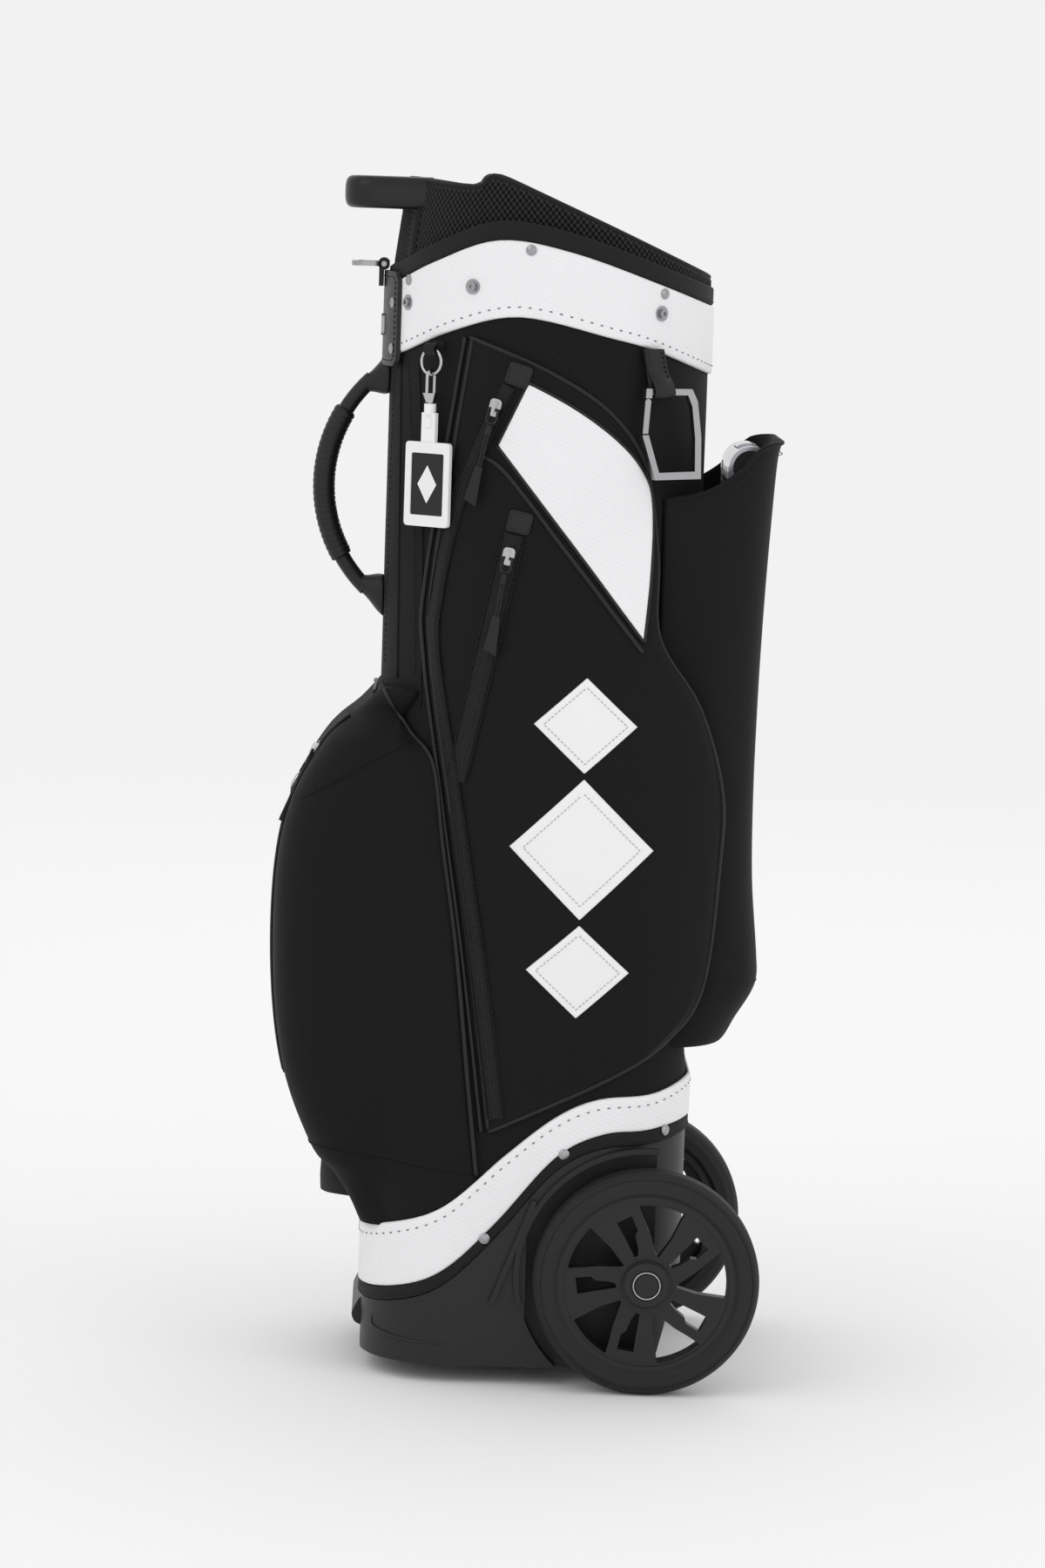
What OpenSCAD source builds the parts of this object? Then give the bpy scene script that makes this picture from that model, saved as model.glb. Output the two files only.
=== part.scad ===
// Wheeled golf bag: a padded club tube on a moulded base with two road wheels,
// a telescoping pull handle behind it, and pockets, zips and clips around it.
// Millimetres, +Z up. The ball pocket faces -X, the pull handle is at +X.

/* [Tube] */
// Outer radius of the padded tube
tube_r = 119.5; // [110:0.5:125]
// Distance of the tube's axis behind the part's origin
tube_x = 9.5; // [8:0.5:11]
// Radius of the hollow inside the padding
hollow_r = 112; // [104:0.5:113]
// Height at which the square lower body has become round
round_z = 330; // [300:5:360]
// Thickness of the full length divider sheets
sheet_t = 2; // [1.5:0.5:3]

/* [Base] */
// Half the width of the moulded base
base_half = 120; // [118:0.5:121]
// Corner radius of the base, seen from above
base_corner = 65; // [55:1:70]
// Wall thickness of the base
base_wall = 3.5; // [3:0.5:5]
// Height of the base's underside above the floor
base_lift = 14; // [12:1:18]

/* [Wheels] */
// Radius of the tyre
wheel_r = 84; // [80:0.5:86]
// Width of the tyre
tyre_w = 34; // [28:1:36]
// Distance of a wheel's middle plane from the bag's middle plane
wheel_y = 131; // [129:1:134]
// Distance of the axle behind the part's origin
axle_x = 100.5; // [96:0.5:104]
// Radius of the axle
axle_r = 5; // [4:0.5:6]
// Radial clearance of the wheel bearings on the axle
running_gap = 0.05; // [0.02:0.01:0.1]
// Number of spoke pairs
spoke_pairs = 5; // [4:1:6]
// Radius of the wheel arches
arch_r = 95; // [92:1:97]
// Gap between each tyre and the front of its well
well_front_gap = 5; // [4:0.5:10]

/* [Pull handle] */
// Distance of the handle's tubes behind the part's origin
pull_x = 158; // [156:1:160]
// Distance of each handle tube from the bag's middle plane
pull_y = 32; // [28:1:36]
// Outer radius of the sliding tubes
pull_r = 7.2; // [6:0.1:7.5]
// Length of the sliding tubes
pull_len = 392; // [380:1:398]

/* [Sleeve] */
// How far the rear sleeve reaches behind the origin
sleeve_x = 182; // [180:1:184]
// Half the width of the rear sleeve
sleeve_half = 85; // [80:1:86]
// Thickness of the sleeve's fabric
sleeve_t = 2.5; // [1.5:0.5:3]

/* [Collar] */
// Lean of the mesh collar: how far it moves in over its height
collar_lean = 9; // [6:1:10]
// Height of the webbing that binds the collar
binding_h = 14; // [10:1:16]

/* [Hidden] */
$fn = 64;
wheel_z = wheel_r;
hub_r = 18;
ring_mid = 9.3;
rim_r = 66;
// Inner radius of the rim's band, and the outer radius of the windows in its web
band_r = 61.5;
window_r = 59.6;
well_y = 104;
slab = 460;
skin = 0.1;
collar_z = 826;
grip_x = 161;
grip_z = 684;
tube_foot = 278;
tray_z = 97;
towel_x = -116.5;
towel_z = 826;
towel_pin_r = 2;
ring_x = -79;
ring_y = -93;
ring_z = 757;
clip_x = 97;
clip_y = -98;
clip_z = 712;
clip_bar = 28.7;
side_r = tube_r + 3;
// Outer radius of the leather tab on the collar's front
tab_r = tube_r + 6;
// Lens of each side pocket: centre, greatest radius and its height
lens_x = 46;
lens_r = 136;
lens_z = 400;
lens_arc = 1000;

// Height lines, each as [distance behind the origin, height]
SHELL_LINE = [[-150, 48], [-90, 58], [-50, 74], [-12, 111], [30, 161], [65, 180], [100, 183], [150, 192]];
BAND_LINE = [[-150, 100], [-95, 116], [-50, 134], [-6, 174], [31, 204], [63, 218], [105, 222], [150, 240]];
COLLAR_LOW = [[-150, 742], [-108, 758], [-64, 780], [-15, 792], [50, 779], [90, 768], [150, 742]];
COLLAR_TOP = [[-150, 794], [-112, 810], [-78, 830], [-32, 847.5], [22, 840], [91, 817], [150, 794]];
RIM_LINE = [[-150, 893], [-100, 891], [-52, 886.5], [-41, 895], [-17, 888], [47, 861], [101, 836], [150, 812]];
// Outline of a side pocket: its rear edge from the top down, then its front edge from the bottom up
POCKET_REAR = [[-50, 776], [8, 753], [54, 724], [82, 684], [93, 620], [96, 560], [128, 508], [147, 446],
               [147, 390], [138, 300], [112, 260], [64, 230], [-20, 190]];
POCKET_FRONT = [[-20, 190], [-38, 320], [-55, 425], [-73, 540], [-73, 600], [-50, 776]];
PANEL = [[-8, 745], [-29, 698], [83, 557], [87, 610], [86, 660], [77, 684], [58, 705], [27, 727]];
// Front faces of the ball pocket: [height, foremost distance, half width, corner radius]
BALL_SECTIONS = [[122, -113, 88, 20], [150, -136, 96, 30], [168, -152, 100, 36], [231, -175, 104, 40],
                 [325, -184.5, 102, 44], [412, -177.5, 97, 44], [471, -150, 90, 40], [508, -110, 78, 30]];
// Lines of the two side zips, from the top down
ZIP_MAIN = [[-22, 742], [-36, 712], [-58, 650], [-69, 590], [-70, 540], [-50, 425], [-32, 320], [-14, 200]];
ZIP_SMALL = [[-15, 634], [-51, 450]];

// Profile of the base's toe, from the top down
TOE = [[-108, 53.5], [-112.5, 48], [-116.5, 40], [-117, 36], [-114.5, 31], [-108, 28]];

// ---- Lines and outlines ----

// Point at t on a Catmull-Rom curve through four points
function curve_at(a, b, c, d, t) =
    0.5 * (2 * b + (c - a) * t + (2 * a - 5 * b + 4 * c - d) * t * t + (3 * b - a - 3 * c + d) * t * t * t);

// Smooth line through hand-set points, with a few steps between each two
function smooth(p, steps = 4) = let (n = len(p)) concat(
    [for (i = [0:n - 2], k = [0:steps - 1])
        curve_at(p[max(i - 1, 0)], p[i], p[i + 1], p[min(i + 2, n - 1)], k / steps)],
    [p[n - 1]]);

function lifted(p, h) = [for (q = p) [q[0], q[1] + h]];
function backwards(p) = [for (i = [len(p) - 1:-1:0]) p[i]];

// Outline between two height lines
function between(low, high) = concat(low, backwards(high));

// Strip of a given width along a line, as a closed outline
function strip(p, w) = let (n = len(p)) concat(
    [for (i = [0:n - 1]) p[i] + across(p, i) * w / 2],
    [for (i = [n - 1:-1:0]) p[i] - across(p, i) * w / 2]);
function across(p, i) = let (d = p[min(i + 1, len(p) - 1)] - p[max(i - 1, 0)]) [-d[1], d[0]] / norm(d);

// Distance of a round surface from the middle plane, at x
function side_y(x, r) = sqrt(r * r - (x - tube_x) * (x - tube_x));

shell_line = smooth(SHELL_LINE);
band_line = smooth(BAND_LINE);
collar_low = smooth(COLLAR_LOW);
collar_top = smooth(COLLAR_TOP);
rim_line = smooth(RIM_LINE, 3);
pocket_outline = concat(smooth(POCKET_REAR, 3), smooth(POCKET_FRONT, 3));
base_floor = [[-200, -50], [200, -50]];
sky = [[-200, 1100], [200, 1100]];

// ---- Building blocks ----

// An outline in the side view, run right through the part from side to side
module through(outline) {
    rotate([90, 0, 0]) linear_extrude(slab, center = true) polygon(outline);
}

// The same, through one side only
module through_left(outline) {
    rotate([90, 0, 0]) linear_extrude(slab / 2) polygon(outline);
}

module mirrored() {
    children();
    mirror([0, 1, 0]) children();
}

// Square with round corners, centred on the tube's axis
module round_square(half, r) {
    translate([tube_x, 0]) {
        square([2 * half, 2 * (half - r)], center = true);
        square([2 * (half - r), 2 * half], center = true);
        for (sx = [-1, 1], sy = [-1, 1]) translate([sx * (half - r), sy * (half - r)]) circle(r);
    }
}

// Rectangle with round corners, centred
module round_rect(w, h, r) {
    square([w, h - 2 * r], center = true);
    square([w - 2 * r, h], center = true);
    for (sx = [-1, 1], sy = [-1, 1]) translate([sx * (w / 2 - r), sy * (h / 2 - r)]) circle(r, $fn = 32);
}

// Upright prism of the square base plan
module base_prism(half, low, high) {
    translate([0, 0, low]) linear_extrude(high - low) round_square(half, base_corner - base_half + half);
}

// Upright cylinder on the tube's axis
module tube_solid(r, low, high) {
    translate([tube_x, 0, low]) cylinder(h = high - low, r = r);
}

// Outside of the padded body: square below, round above
module body_solid(extra = 0) {
    r = tube_r + extra;
    base_prism(r, 30, 230);
    hull() {
        translate([0, 0, 229]) linear_extrude(1) round_square(r, base_corner - base_half + r, $fn = 48);
        translate([tube_x, 0, round_z]) cylinder(h = 1, r = r, $fn = 48);
    }
    tube_solid(r, round_z, 860);
}

// Band around the round part of the tube, between two height lines
module tube_band(r_in, r_out, low, high) {
    intersection() {
        difference() {
            tube_solid(r_out, 700, 920);
            tube_solid(r_in, 699, 921);
        }
        through(between(low, high));
    }
}

// Band around the square base, between two height lines
module base_band_solid(half_in, half_out, low, high) {
    intersection() {
        difference() {
            base_prism(half_out, 20, 300);
            base_prism(half_in, 19, 301);
        }
        through(between(low, high));
    }
}

// Puts a small piece on the tube's left side, facing out, leaning by tilt in the surface
module on_side(x, z, r, tilt = 0) {
    translate([x, -side_y(x, r), z]) rotate([0, 0, asin((x - tube_x) / r)]) rotate([0, tilt, 0]) children();
}

// Cylinder along Y between two distances from the middle plane
module across_y(r, from, to, fn = 64) {
    translate([0, from, 0]) rotate([-90, 0, 0]) cylinder(h = to - from, r = r, $fn = fn);
}

// ---- Base ----

// Round well over each wheel, cut flat in front where it comes close to the tyre
module wheel_well(extra = 0) {
    front = wheel_r + well_front_gap + extra;
    for (s = [-1, 1]) translate([axle_x, s * (well_y - extra + slab / 4), wheel_z]) intersection() {
        rotate([90, 0, 0]) cylinder(h = slab / 2, r = arch_r + extra, center = true);
        translate([slab / 2 - front, 0, 0]) cube(slab, center = true);
    }
}

// Slanted cut under the base's rear edge
module rear_cut(extra = 0) {
    through([[132 - extra, 96], [108 - extra, 10], [150, 10], [150, 96]]);
}

module base_shell() {
    shoulder = lifted(shell_line, -8);
    color("#1b1b1d") {
        difference() {
            union() {
                intersection() {
                    base_prism(base_half, base_lift, 210);
                    through(between(base_floor, shell_line));
                }
                intersection() {
                    base_prism(base_half - 4.2, 40, 230);
                    through(between(base_floor, lifted(shell_line, 24)));
                }
                // Toe that stands out of the front face
                rotate([90, 0, 0]) linear_extrude(112, center = true) polygon(smooth(TOE));
            }
            wheel_well();
            rear_cut();
            // Inside of the cup, kept off the wheel wells and the rear cut
            difference() {
                intersection() {
                    base_prism(base_half - base_wall, base_lift + 4, 260);
                    through(between(base_floor, shoulder));
                }
                wheel_well(base_wall);
                rear_cut(base_wall);
            }
            difference() {
                base_prism(base_half - 7.7, 30, 260);
                wheel_well(base_wall);
                rear_cut(base_wall);
            }
            translate([axle_x, 0, wheel_z]) across_y(axle_r, -150, 150);
        }
        // Bosses that hold the axle, inside and outside each wheel well
        difference() {
            mirrored() translate([axle_x, 0, wheel_z]) across_y(11, 84, 113.4);
            translate([axle_x, 0, wheel_z]) across_y(axle_r, -150, 150);
        }
        arch_ribs();
        // Posts under the floor tray
        for (x = [-45, 45], y = [-62, 62]) translate([x, y, base_lift + 2]) cylinder(h = tray_z - base_lift - 2, r = 6);
    }
}

// Raised rib around each wheel arch, running down its front into the side
module arch_ribs() {
    mirrored() intersection() {
        union() {
            difference() {
                translate([axle_x, 0, wheel_z]) across_y(arch_r + 3, -123.5, -119.5);
                translate([axle_x, 0, wheel_z]) across_y(arch_r - 1, -124, -119);
            }
            translate([1, -121.5, 100]) rotate([0, 21, 0]) cube([4, 4, 86], center = true);
        }
        through([[-30, 62], [30, 62], [30, 130], [108, 130], [108, 200], [-30, 200]]);
    }
}

module base_binding() {
    color("#222224") base_band_solid(base_half + skin, base_half + 2, lifted(shell_line, 0.5),
                                     lifted(shell_line, 11));
}

module base_band() {
    color("#eeeeef") base_band_solid(base_half + skin, base_half + 2.6, lifted(shell_line, 11.1), band_line);
}

// Domed rivet head, facing -Y
module rivet_head(r = 4) {
    intersection() {
        across_y(r, -1.8, 0.8, 32);
        translate([0, 5.2, 0]) sphere(r = 7, $fn = 48);
    }
}

// Rivets along the band's lower edge: two on each flat side, one on each rear corner
module base_rivets() {
    corner = base_half - base_corner;
    color("#b9babd") mirrored() {
        for (p = [[-20, 111], [37, 176]]) translate([p[0], -base_half - 2.6, p[1]]) rivet_head();
        translate([tube_x + corner, -corner, 193]) rotate([0, 0, 45])
            translate([0, -base_corner - 2.6, 0]) rivet_head();
    }
}

module front_foot() {
    color("#151516") difference() {
        translate([-62, 0, 0]) linear_extrude(base_lift) round_rect(44, 84, 12);
        for (i = [-1, 1]) translate([-62 + i * 10, 0, -1]) cube([3, 100, 4], center = true);
    }
}

module floor_tray() {
    color("#2c2c2e") difference() {
        tube_solid(hollow_r - 4, tray_z, tray_z + 4);
        wheel_well(base_wall + 0.5);
        rear_cut(base_wall + 0.5);
    }
}

module axle() {
    color("#a8a9ac") translate([axle_x, 0, wheel_z]) across_y(axle_r, -142, 142);
}

module axle_clips() {
    color("#8c8d90") mirrored() translate([axle_x, 0, wheel_z]) difference() {
        across_y(axle_r + 3.5, 139.5, 140.7);
        across_y(axle_r, 139, 141);
    }
}

// ---- Tube ----

module liner_tube() {
    color("#3a3a3c") intersection() {
        difference() {
            tube_solid(hollow_r - 1, 40, collar_z - skin);
            tube_solid(hollow_r - 3.5, 39, 861);
        }
        through(between(lifted(shell_line, 2), lifted(rim_line, -46)));
    }
}

module divider_sheets() {
    color("#4a4a4d") intersection() {
        union() {
            tube_solid(hollow_r - 4, 196, 860);
            intersection() {
                tube_solid(hollow_r - 4, 102, 200);
                translate([-120, -98, 90]) cube([250, 196, 120]);
            }
        }
        translate([tube_x, 0, 500]) {
            for (s = [-1, 1]) translate([s * 34, 0, 0]) cube([sheet_t, 230, 1000], center = true);
            cube([230, sheet_t, 1000], center = true);
        }
        through(between(base_floor, lifted(rim_line, -46)));
    }
}

module bag_shell() {
    color("#17171a") difference() {
        body_solid();
        tube_solid(hollow_r, 0, 900);
        intersection() {
            base_prism(base_half - 3.9, 0, 400);
            through(between(base_floor, lifted(shell_line, 25)));
        }
        through(between(base_floor, lifted(shell_line, 0.3)));
        through(between(lifted(collar_top, -8), sky));
    }
}

// Solid of the moulded ring at the mouth, leaning in with the collar
module mouth_ring(extra = 0) {
    translate([tube_x, 0, 0]) rotate_extrude() polygon([
        [99 - extra, 770 - extra], [hollow_r - 0.6 + extra, 770 - extra], [hollow_r - 0.6 + extra, collar_z],
        [tube_r - collar_lean - 4 + extra, 890], [99 - extra, 890]]);
}

module divider_top() {
    color("#202022") {
        intersection() {
            mouth_ring();
            through(between(lifted(rim_line, -45.5), lifted(rim_line, -5)));
        }
        intersection() {
            translate([tube_x, 0, 500]) {
                for (s = [-1, 1]) translate([s * 34, 0, 0]) cube([9, 204, 1000], center = true);
                cube([204, 9, 1000], center = true);
            }
            tube_solid(100, 700, 900);
            through(between(lifted(rim_line, -45.5), lifted(rim_line, -16)));
        }
    }
}

module lift_handle() {
    color("#131314") difference() {
        intersection() {
            translate([-117, 0, 860]) linear_extrude(34) difference() {
                round_rect(60, 112, 16);
                translate([2, 0]) round_rect(28, 74, 8);
            }
            through([[-146, 869], [-140, 866.5], [-104, 867.5], [-80, 869], [-80, 890], [-104, 889.5],
                     [-140, 888.5], [-146, 886], [-147.5, 878]]);
        }
        tube_solid(tube_r - collar_lean - 2.1, 850, 900);
        // Room for the collar's wall between the two arms
        translate([-100, 0, 878]) cube([26, 73.8, 60], center = true);
    }
}

// Cone that the mesh collar follows above the binding
module collar_cone() {
    translate([tube_x, 0, collar_z]) cylinder(h = 70, r1 = tube_r - 1, r2 = tube_r - collar_lean);
}

module mesh_collar() {
    color("#1d1d1f") difference() {
        intersection() {
            union() {
                collar_cone();
                intersection() {
                    tube_solid(tube_r, 770, 880);
                    through(between(base_floor, lifted(collar_top, binding_h)));
                }
            }
            through(between(lifted(collar_top, -7.7), rim_line));
        }
        tube_solid(99, 700, 950);
        intersection() {
            mouth_ring(skin);
            through(between(base_floor, lifted(rim_line, -4.9)));
        }
        tube_solid(hollow_r - 0.5, 700, collar_z);
        lift_handle_gap();
    }
}

// Slot that the lift handle's arms run through
module lift_handle_gap() {
    mirrored() translate([-97, 46.5, 878]) cube([34, 19.6, 23.8], center = true);
}

module collar_binding() {
    color("#262628") tube_band(tube_r + skin, tube_r + 2, lifted(collar_top, 0.2), lifted(collar_top, binding_h));
}

module collar_band() {
    color("#efeff0") tube_band(tube_r + skin, tube_r + 2.9, collar_low, collar_top);
}

module collar_rivets() {
    color("#b9babd") mirrored() {
        for (p = [[-97.5, 815.5], [-9, 841], [90.5, 812]]) on_side(p[0], p[1], tube_r + 2.9) rivet_head();
        for (z = [764, 798]) on_side(-109, z, tab_r) rivet_head();
    }
}

// Snap studs: a flat washer with a domed post
module snap_studs() {
    color("#c4c5c8") mirrored() for (p = [[-97.5, 799], [-50.5, 813], [88.5, 797.5]])
        on_side(p[0], p[1], tube_r + 2.9) {
            across_y(5.6, -0.9, 0.8, 32);
            difference() {
                across_y(3.4, -3, 0, 32);
                across_y(1.6, -3.5, -1.8, 32);
            }
        }
}

// Leather tab on the front of the collar, wrapped round the tube
module front_tab() {
    color("#161617") intersection() {
        difference() {
            tube_solid(tab_r, 740, 830);
            tube_solid(tube_r + 3, 739, 831);
        }
        translate([-125, 0, 786]) rotate([0, 90, 0]) linear_extrude(60, center = true) round_rect(70, 100, 9);
    }
}

// Plain raised badge on the tab
module front_badge() {
    color("#9fa0a3") translate([tube_x - tab_r, 0, 781]) rotate([0, 90, 0]) {
        linear_extrude(2.4, center = true) difference() {
            round_rect(16, 34, 3);
            round_rect(10, 28, 1.5);
        }
        linear_extrude(1.6, center = true) round_rect(11, 29, 1.5);
    }
}

// Leather handle: round arc, thicker wrapped grip, and a flat foot at each end
module grab_handle() {
    arc_r = 108;
    arc_x = -157 + arc_r;
    color("#141415") difference() {
        union() {
            translate([arc_x, 0, 661]) rotate([90, 0, 0]) {
                rotate([0, 0, 180 - 47]) rotate_extrude(angle = 94) translate([arc_r, 0]) circle(6.2, $fn = 32);
                rotate([0, 0, 180 - 31]) rotate_extrude(angle = 62) translate([arc_r, 0]) circle(8.2, $fn = 32);
            }
            for (s = [-1, 1]) translate([-118, 0, 661 + s * 84]) {
                rotate([0, s * 20, 0]) cube([16, 18, 20], center = true);
                translate([4.7, 0, 0]) cube([8, 26, 30], center = true);
            }
        }
        tube_solid(tube_r + skin, 540, 780);
        tube_solid(tab_r + skin, 750.9, 780);
    }
}

// ---- Pockets ----

module ball_pocket() {
    color("#18181b") difference() {
        hull() for (s = BALL_SECTIONS) translate([0, 0, s[0]]) linear_extrude(0.5) for (k = [-1, 1]) {
            translate([s[1] + s[3], k * (s[2] - s[3])]) circle(s[3], $fn = 32);
            translate([-20, k * (s[2] - 4)]) circle(4, $fn = 16);
        }
        body_solid(0.2);
        base_prism(base_half + 3, 0, 134);
        strap_ring(skin);
        through([[-69, 540], [-64, 460], [-46, 330], [-24, 160], [-24, 100], [60, 100], [60, 540]]);
    }
}

// Loop of webbing round the front, grown by extra
module strap_ring(extra = 0) {
    translate([-104, 0, 126 - extra]) linear_extrude(24 + 2 * extra) difference() {
        round_rect(80 + 2 * extra, 132 + 2 * extra, 28);
        round_rect(73 - 2 * extra, 125 - 2 * extra, 24.5);
    }
}

module under_strap() {
    color("#1c1c1e") difference() {
        strap_ring();
        base_prism(base_half + 2.9, 90, 160);
    }
}

// Bulged face of a side pocket: a spindle about an upright axis
module pocket_lens(extra = 0) {
    translate([lens_x, 0, lens_z]) rotate_extrude($fn = 96) intersection() {
        translate([lens_r + extra - lens_arc, 0]) circle(lens_arc, $fn = 256);
        translate([0, -260]) square([200, 640]);
    }
}

module pocket_solid() {
    difference() {
        intersection() {
            union() {
                body_solid(3);
                pocket_lens();
            }
            through_left(pocket_outline);
        }
        body_solid(0.2);
        intersection() {
            base_prism(base_half + 3, 0, 300);
            through(between(base_floor, lifted(band_line, 0.5)));
        }
        sleeve_block(0.6);
        ball_pocket_keepout();
    }
}

// Room left for the ball pocket's side
module ball_pocket_keepout() {
    through([[-90, 540], [-63, 462], [-45, 330], [-22.5, 160], [-60, 100], [-200, 100], [-200, 540]]);
}

module left_pocket() {
    color("#19191c") pocket_solid();
}

module right_pocket() {
    color("#19191c") mirror([0, 1, 0]) pocket_solid();
}

module side_panels() {
    color("#eeeeef") mirrored() difference() {
        intersection() {
            union() {
                tube_solid(side_r + 1.2, 500, 800);
                pocket_lens(1.2);
            }
            through_left(PANEL);
        }
        tube_solid(side_r + skin, 490, 810);
        pocket_lens(skin);
    }
}

// Zip chain on the round part of the left side, along a line
module zip_strip(line, w) {
    difference() {
        intersection() {
            tube_solid(side_r + 0.9, round_z + 10, 760);
            through_left(strip(line, w));
        }
        tube_solid(side_r + skin, round_z, 770);
    }
}

module zip_chains() {
    color("#242427") {
        mirrored() zip_strip(smooth(ZIP_MAIN, 3), 5.5);
        zip_strip(ZIP_SMALL, 6);
        ball_frame() translate([0, -0.1, -24]) cube([6, 0.8, 58], center = true);
    }
}

// ---- Rear sleeve and pull handle ----

// Upright solid of the sleeve's plan
module sleeve_block(extra = 0) {
    r = 40;
    translate([0, 0, 200]) linear_extrude(560) {
        translate([60, -sleeve_half - extra]) square([sleeve_x - r - 60, 2 * (sleeve_half + extra)]);
        translate([100, r - sleeve_half]) square([sleeve_x - 100 + extra, 2 * (sleeve_half - r)]);
        for (s = [-1, 1]) translate([sleeve_x - r, s * (sleeve_half - r)]) circle(r + extra);
    }
}

module sleeve() {
    mouth = smooth([[60, 658], [98, 660], [128, 667], [152, 683], [168, 700], [190, 704]]);
    floor_line = [[60, 240], [120, 243], [147, 248], [172, 280], [190, 305]];
    color("#18181b") difference() {
        intersection() {
            sleeve_block();
            through(between(floor_line, mouth));
        }
        difference() {
            sleeve_block(-sleeve_t);
            through(between(base_floor, lifted(floor_line, 3)));
        }
        body_solid(0.3);
    }
}

module guide_tubes() {
    color("#6e6f72") for (s = [-1, 1]) translate([pull_x, s * pull_y, 0]) difference() {
        translate([0, 0, 284]) cylinder(h = 356, r = 9);
        translate([0, 0, 280]) cylinder(h = 370, r = pull_r + running_gap);
    }
}

module guide_brackets() {
    color("#1f1f21") difference() {
        for (z = [284, 618]) translate([0, 0, z]) linear_extrude(20) difference() {
            union() {
                translate([118, -26]) square([44, 52]);
                translate([118, -sleeve_half + 36]) square([36, 2 * (sleeve_half - 36)]);
                for (s = [-1, 1]) translate([pull_x, s * pull_y]) circle(13.5);
            }
            for (s = [-1, 1]) translate([pull_x, s * pull_y]) circle(9);
        }
        body_solid(0);
    }
}

module handle_tubes() {
    color("#b4b5b8") for (s = [-1, 1]) translate([pull_x, s * pull_y, tube_foot]) difference() {
        cylinder(h = pull_len, r = pull_r);
        translate([0, 0, -1]) cylinder(h = pull_len - 6, r = pull_r - 1.2);
    }
}

// Silver cap over the grip, with a guard down its front and a foot on the tubes
module grip_frame() {
    color("#a9a9b0") difference() {
        translate([grip_x, 0, grip_z]) {
            difference() {
                union() {
                    across_y(16, -48, 48);
                    translate([-4, 0, -9]) cube([24, 96, 12], center = true);
                }
                across_y(13.1, -60, 60);
                translate([0, 0, -21]) cube([60, 120, 22], center = true);
            }
            mirrored() translate([-15.2, -45, -12]) cube([3, 6, 26], center = true);
        }
        button_slot();
    }
    color("#a9a9b0") difference() {
        translate([grip_x - 4, 0, grip_z - 18.5]) cube([26, 96, 11], center = true);
        for (s = [-1, 1]) translate([pull_x, s * pull_y, 0]) cylinder(h = tube_foot + pull_len, r = pull_r);
    }
}

module grip_core() {
    color("#1a1a1b") difference() {
        translate([grip_x, 0, grip_z]) across_y(13, -47, 47);
        button_slot();
    }
}

// Slot that the release button sinks into
module button_slot() {
    translate([grip_x - 1, 0, grip_z + 17]) cube([16.6, 40.6, 13], center = true);
}

module release_button() {
    color("#c9c9ce") translate([grip_x - 1, 0, grip_z + 15.5]) intersection() {
        cube([16, 40, 3.4], center = true);
        translate([0, 0, -14.3]) across_y(16, -30, 30);
    }
}

// ---- Things that hang ----

// Leather loop on the front tab, which holds the towel ring's straight side
module ring_mount() {
    color("#1a1a1c") difference() {
        translate([towel_x, 0, towel_z]) difference() {
            union() {
                across_y(4.6, -13, 13);
                translate([-1.7, 0, -8]) cube([3.6, 26, 17], center = true);
            }
            across_y(towel_pin_r + running_gap, -20, 20);
        }
        tube_solid(tab_r + skin, 740, 821.1);
        tube_solid(tube_r + 3, 820, 850);
    }
}

// Flat towel ring, with a round pin for its straight side
module towel_ring() {
    ring_l = 24;
    color("#c6c7c9") {
        translate([towel_x, 0, towel_z]) across_y(towel_pin_r, -18, 18);
        difference() {
            translate([towel_x - ring_l / 2, 0, towel_z - 1.8]) linear_extrude(3.6) difference() {
                round_rect(ring_l, 42, 8);
                round_rect(ring_l - 9, 33, 5);
            }
            translate([towel_x, 0, towel_z]) cube([14, 27, 8], center = true);
        }
    }
}

// Places a piece of the tag: its own upright plane lies along the tube's surface
module tag_plane() {
    translate([ring_x, ring_y, ring_z]) rotate([0, 0, -40]) children();
}

// Webbing loop below the collar band that the tag's ring runs through
module tag_loop() {
    color("#1c1c1e") tag_plane() {
        translate([0, 5.4, 11.4]) cube([10, 6, 2], center = true);
        translate([0, 7.4, 11.8]) cube([10, 2, 7], center = true);
        translate([0, 0, ring_mid]) rotate([0, 90, 0]) difference() {
            cylinder(h = 10, r = 4.4, center = true);
            cylinder(h = 12, r = 3.2, center = true);
        }
    }
}

module tag_ring() {
    color("#c6c7c9") tag_plane() rotate([90, 0, 0]) rotate_extrude() translate([ring_mid, 0]) circle(1.2, $fn = 24);
}

// Swivel hook: a long eye round the ring, a barrel and the swivel's pin
module snap_hook() {
    eye = 4.2;
    color("#c6c7c9") tag_plane() translate([0, 0, -ring_mid - 1.6]) {
        rotate([90, 0, 90]) rotate_extrude(angle = 180) translate([eye, 0]) circle(1.2, $fn = 24);
        for (s = [-1, 1]) translate([0, s * eye, -13]) cylinder(h = 13, r = 1.2, $fn = 24);
        translate([0, 0, -19]) cylinder(h = 7, r1 = 3.4, r2 = 6);
        translate([0, 0, -23]) cylinder(h = 4.1, r = 1.3, $fn = 24);
        translate([0, 0, -24.6]) cylinder(h = 1.7, r = 2.4, $fn = 24);
    }
}

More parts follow.
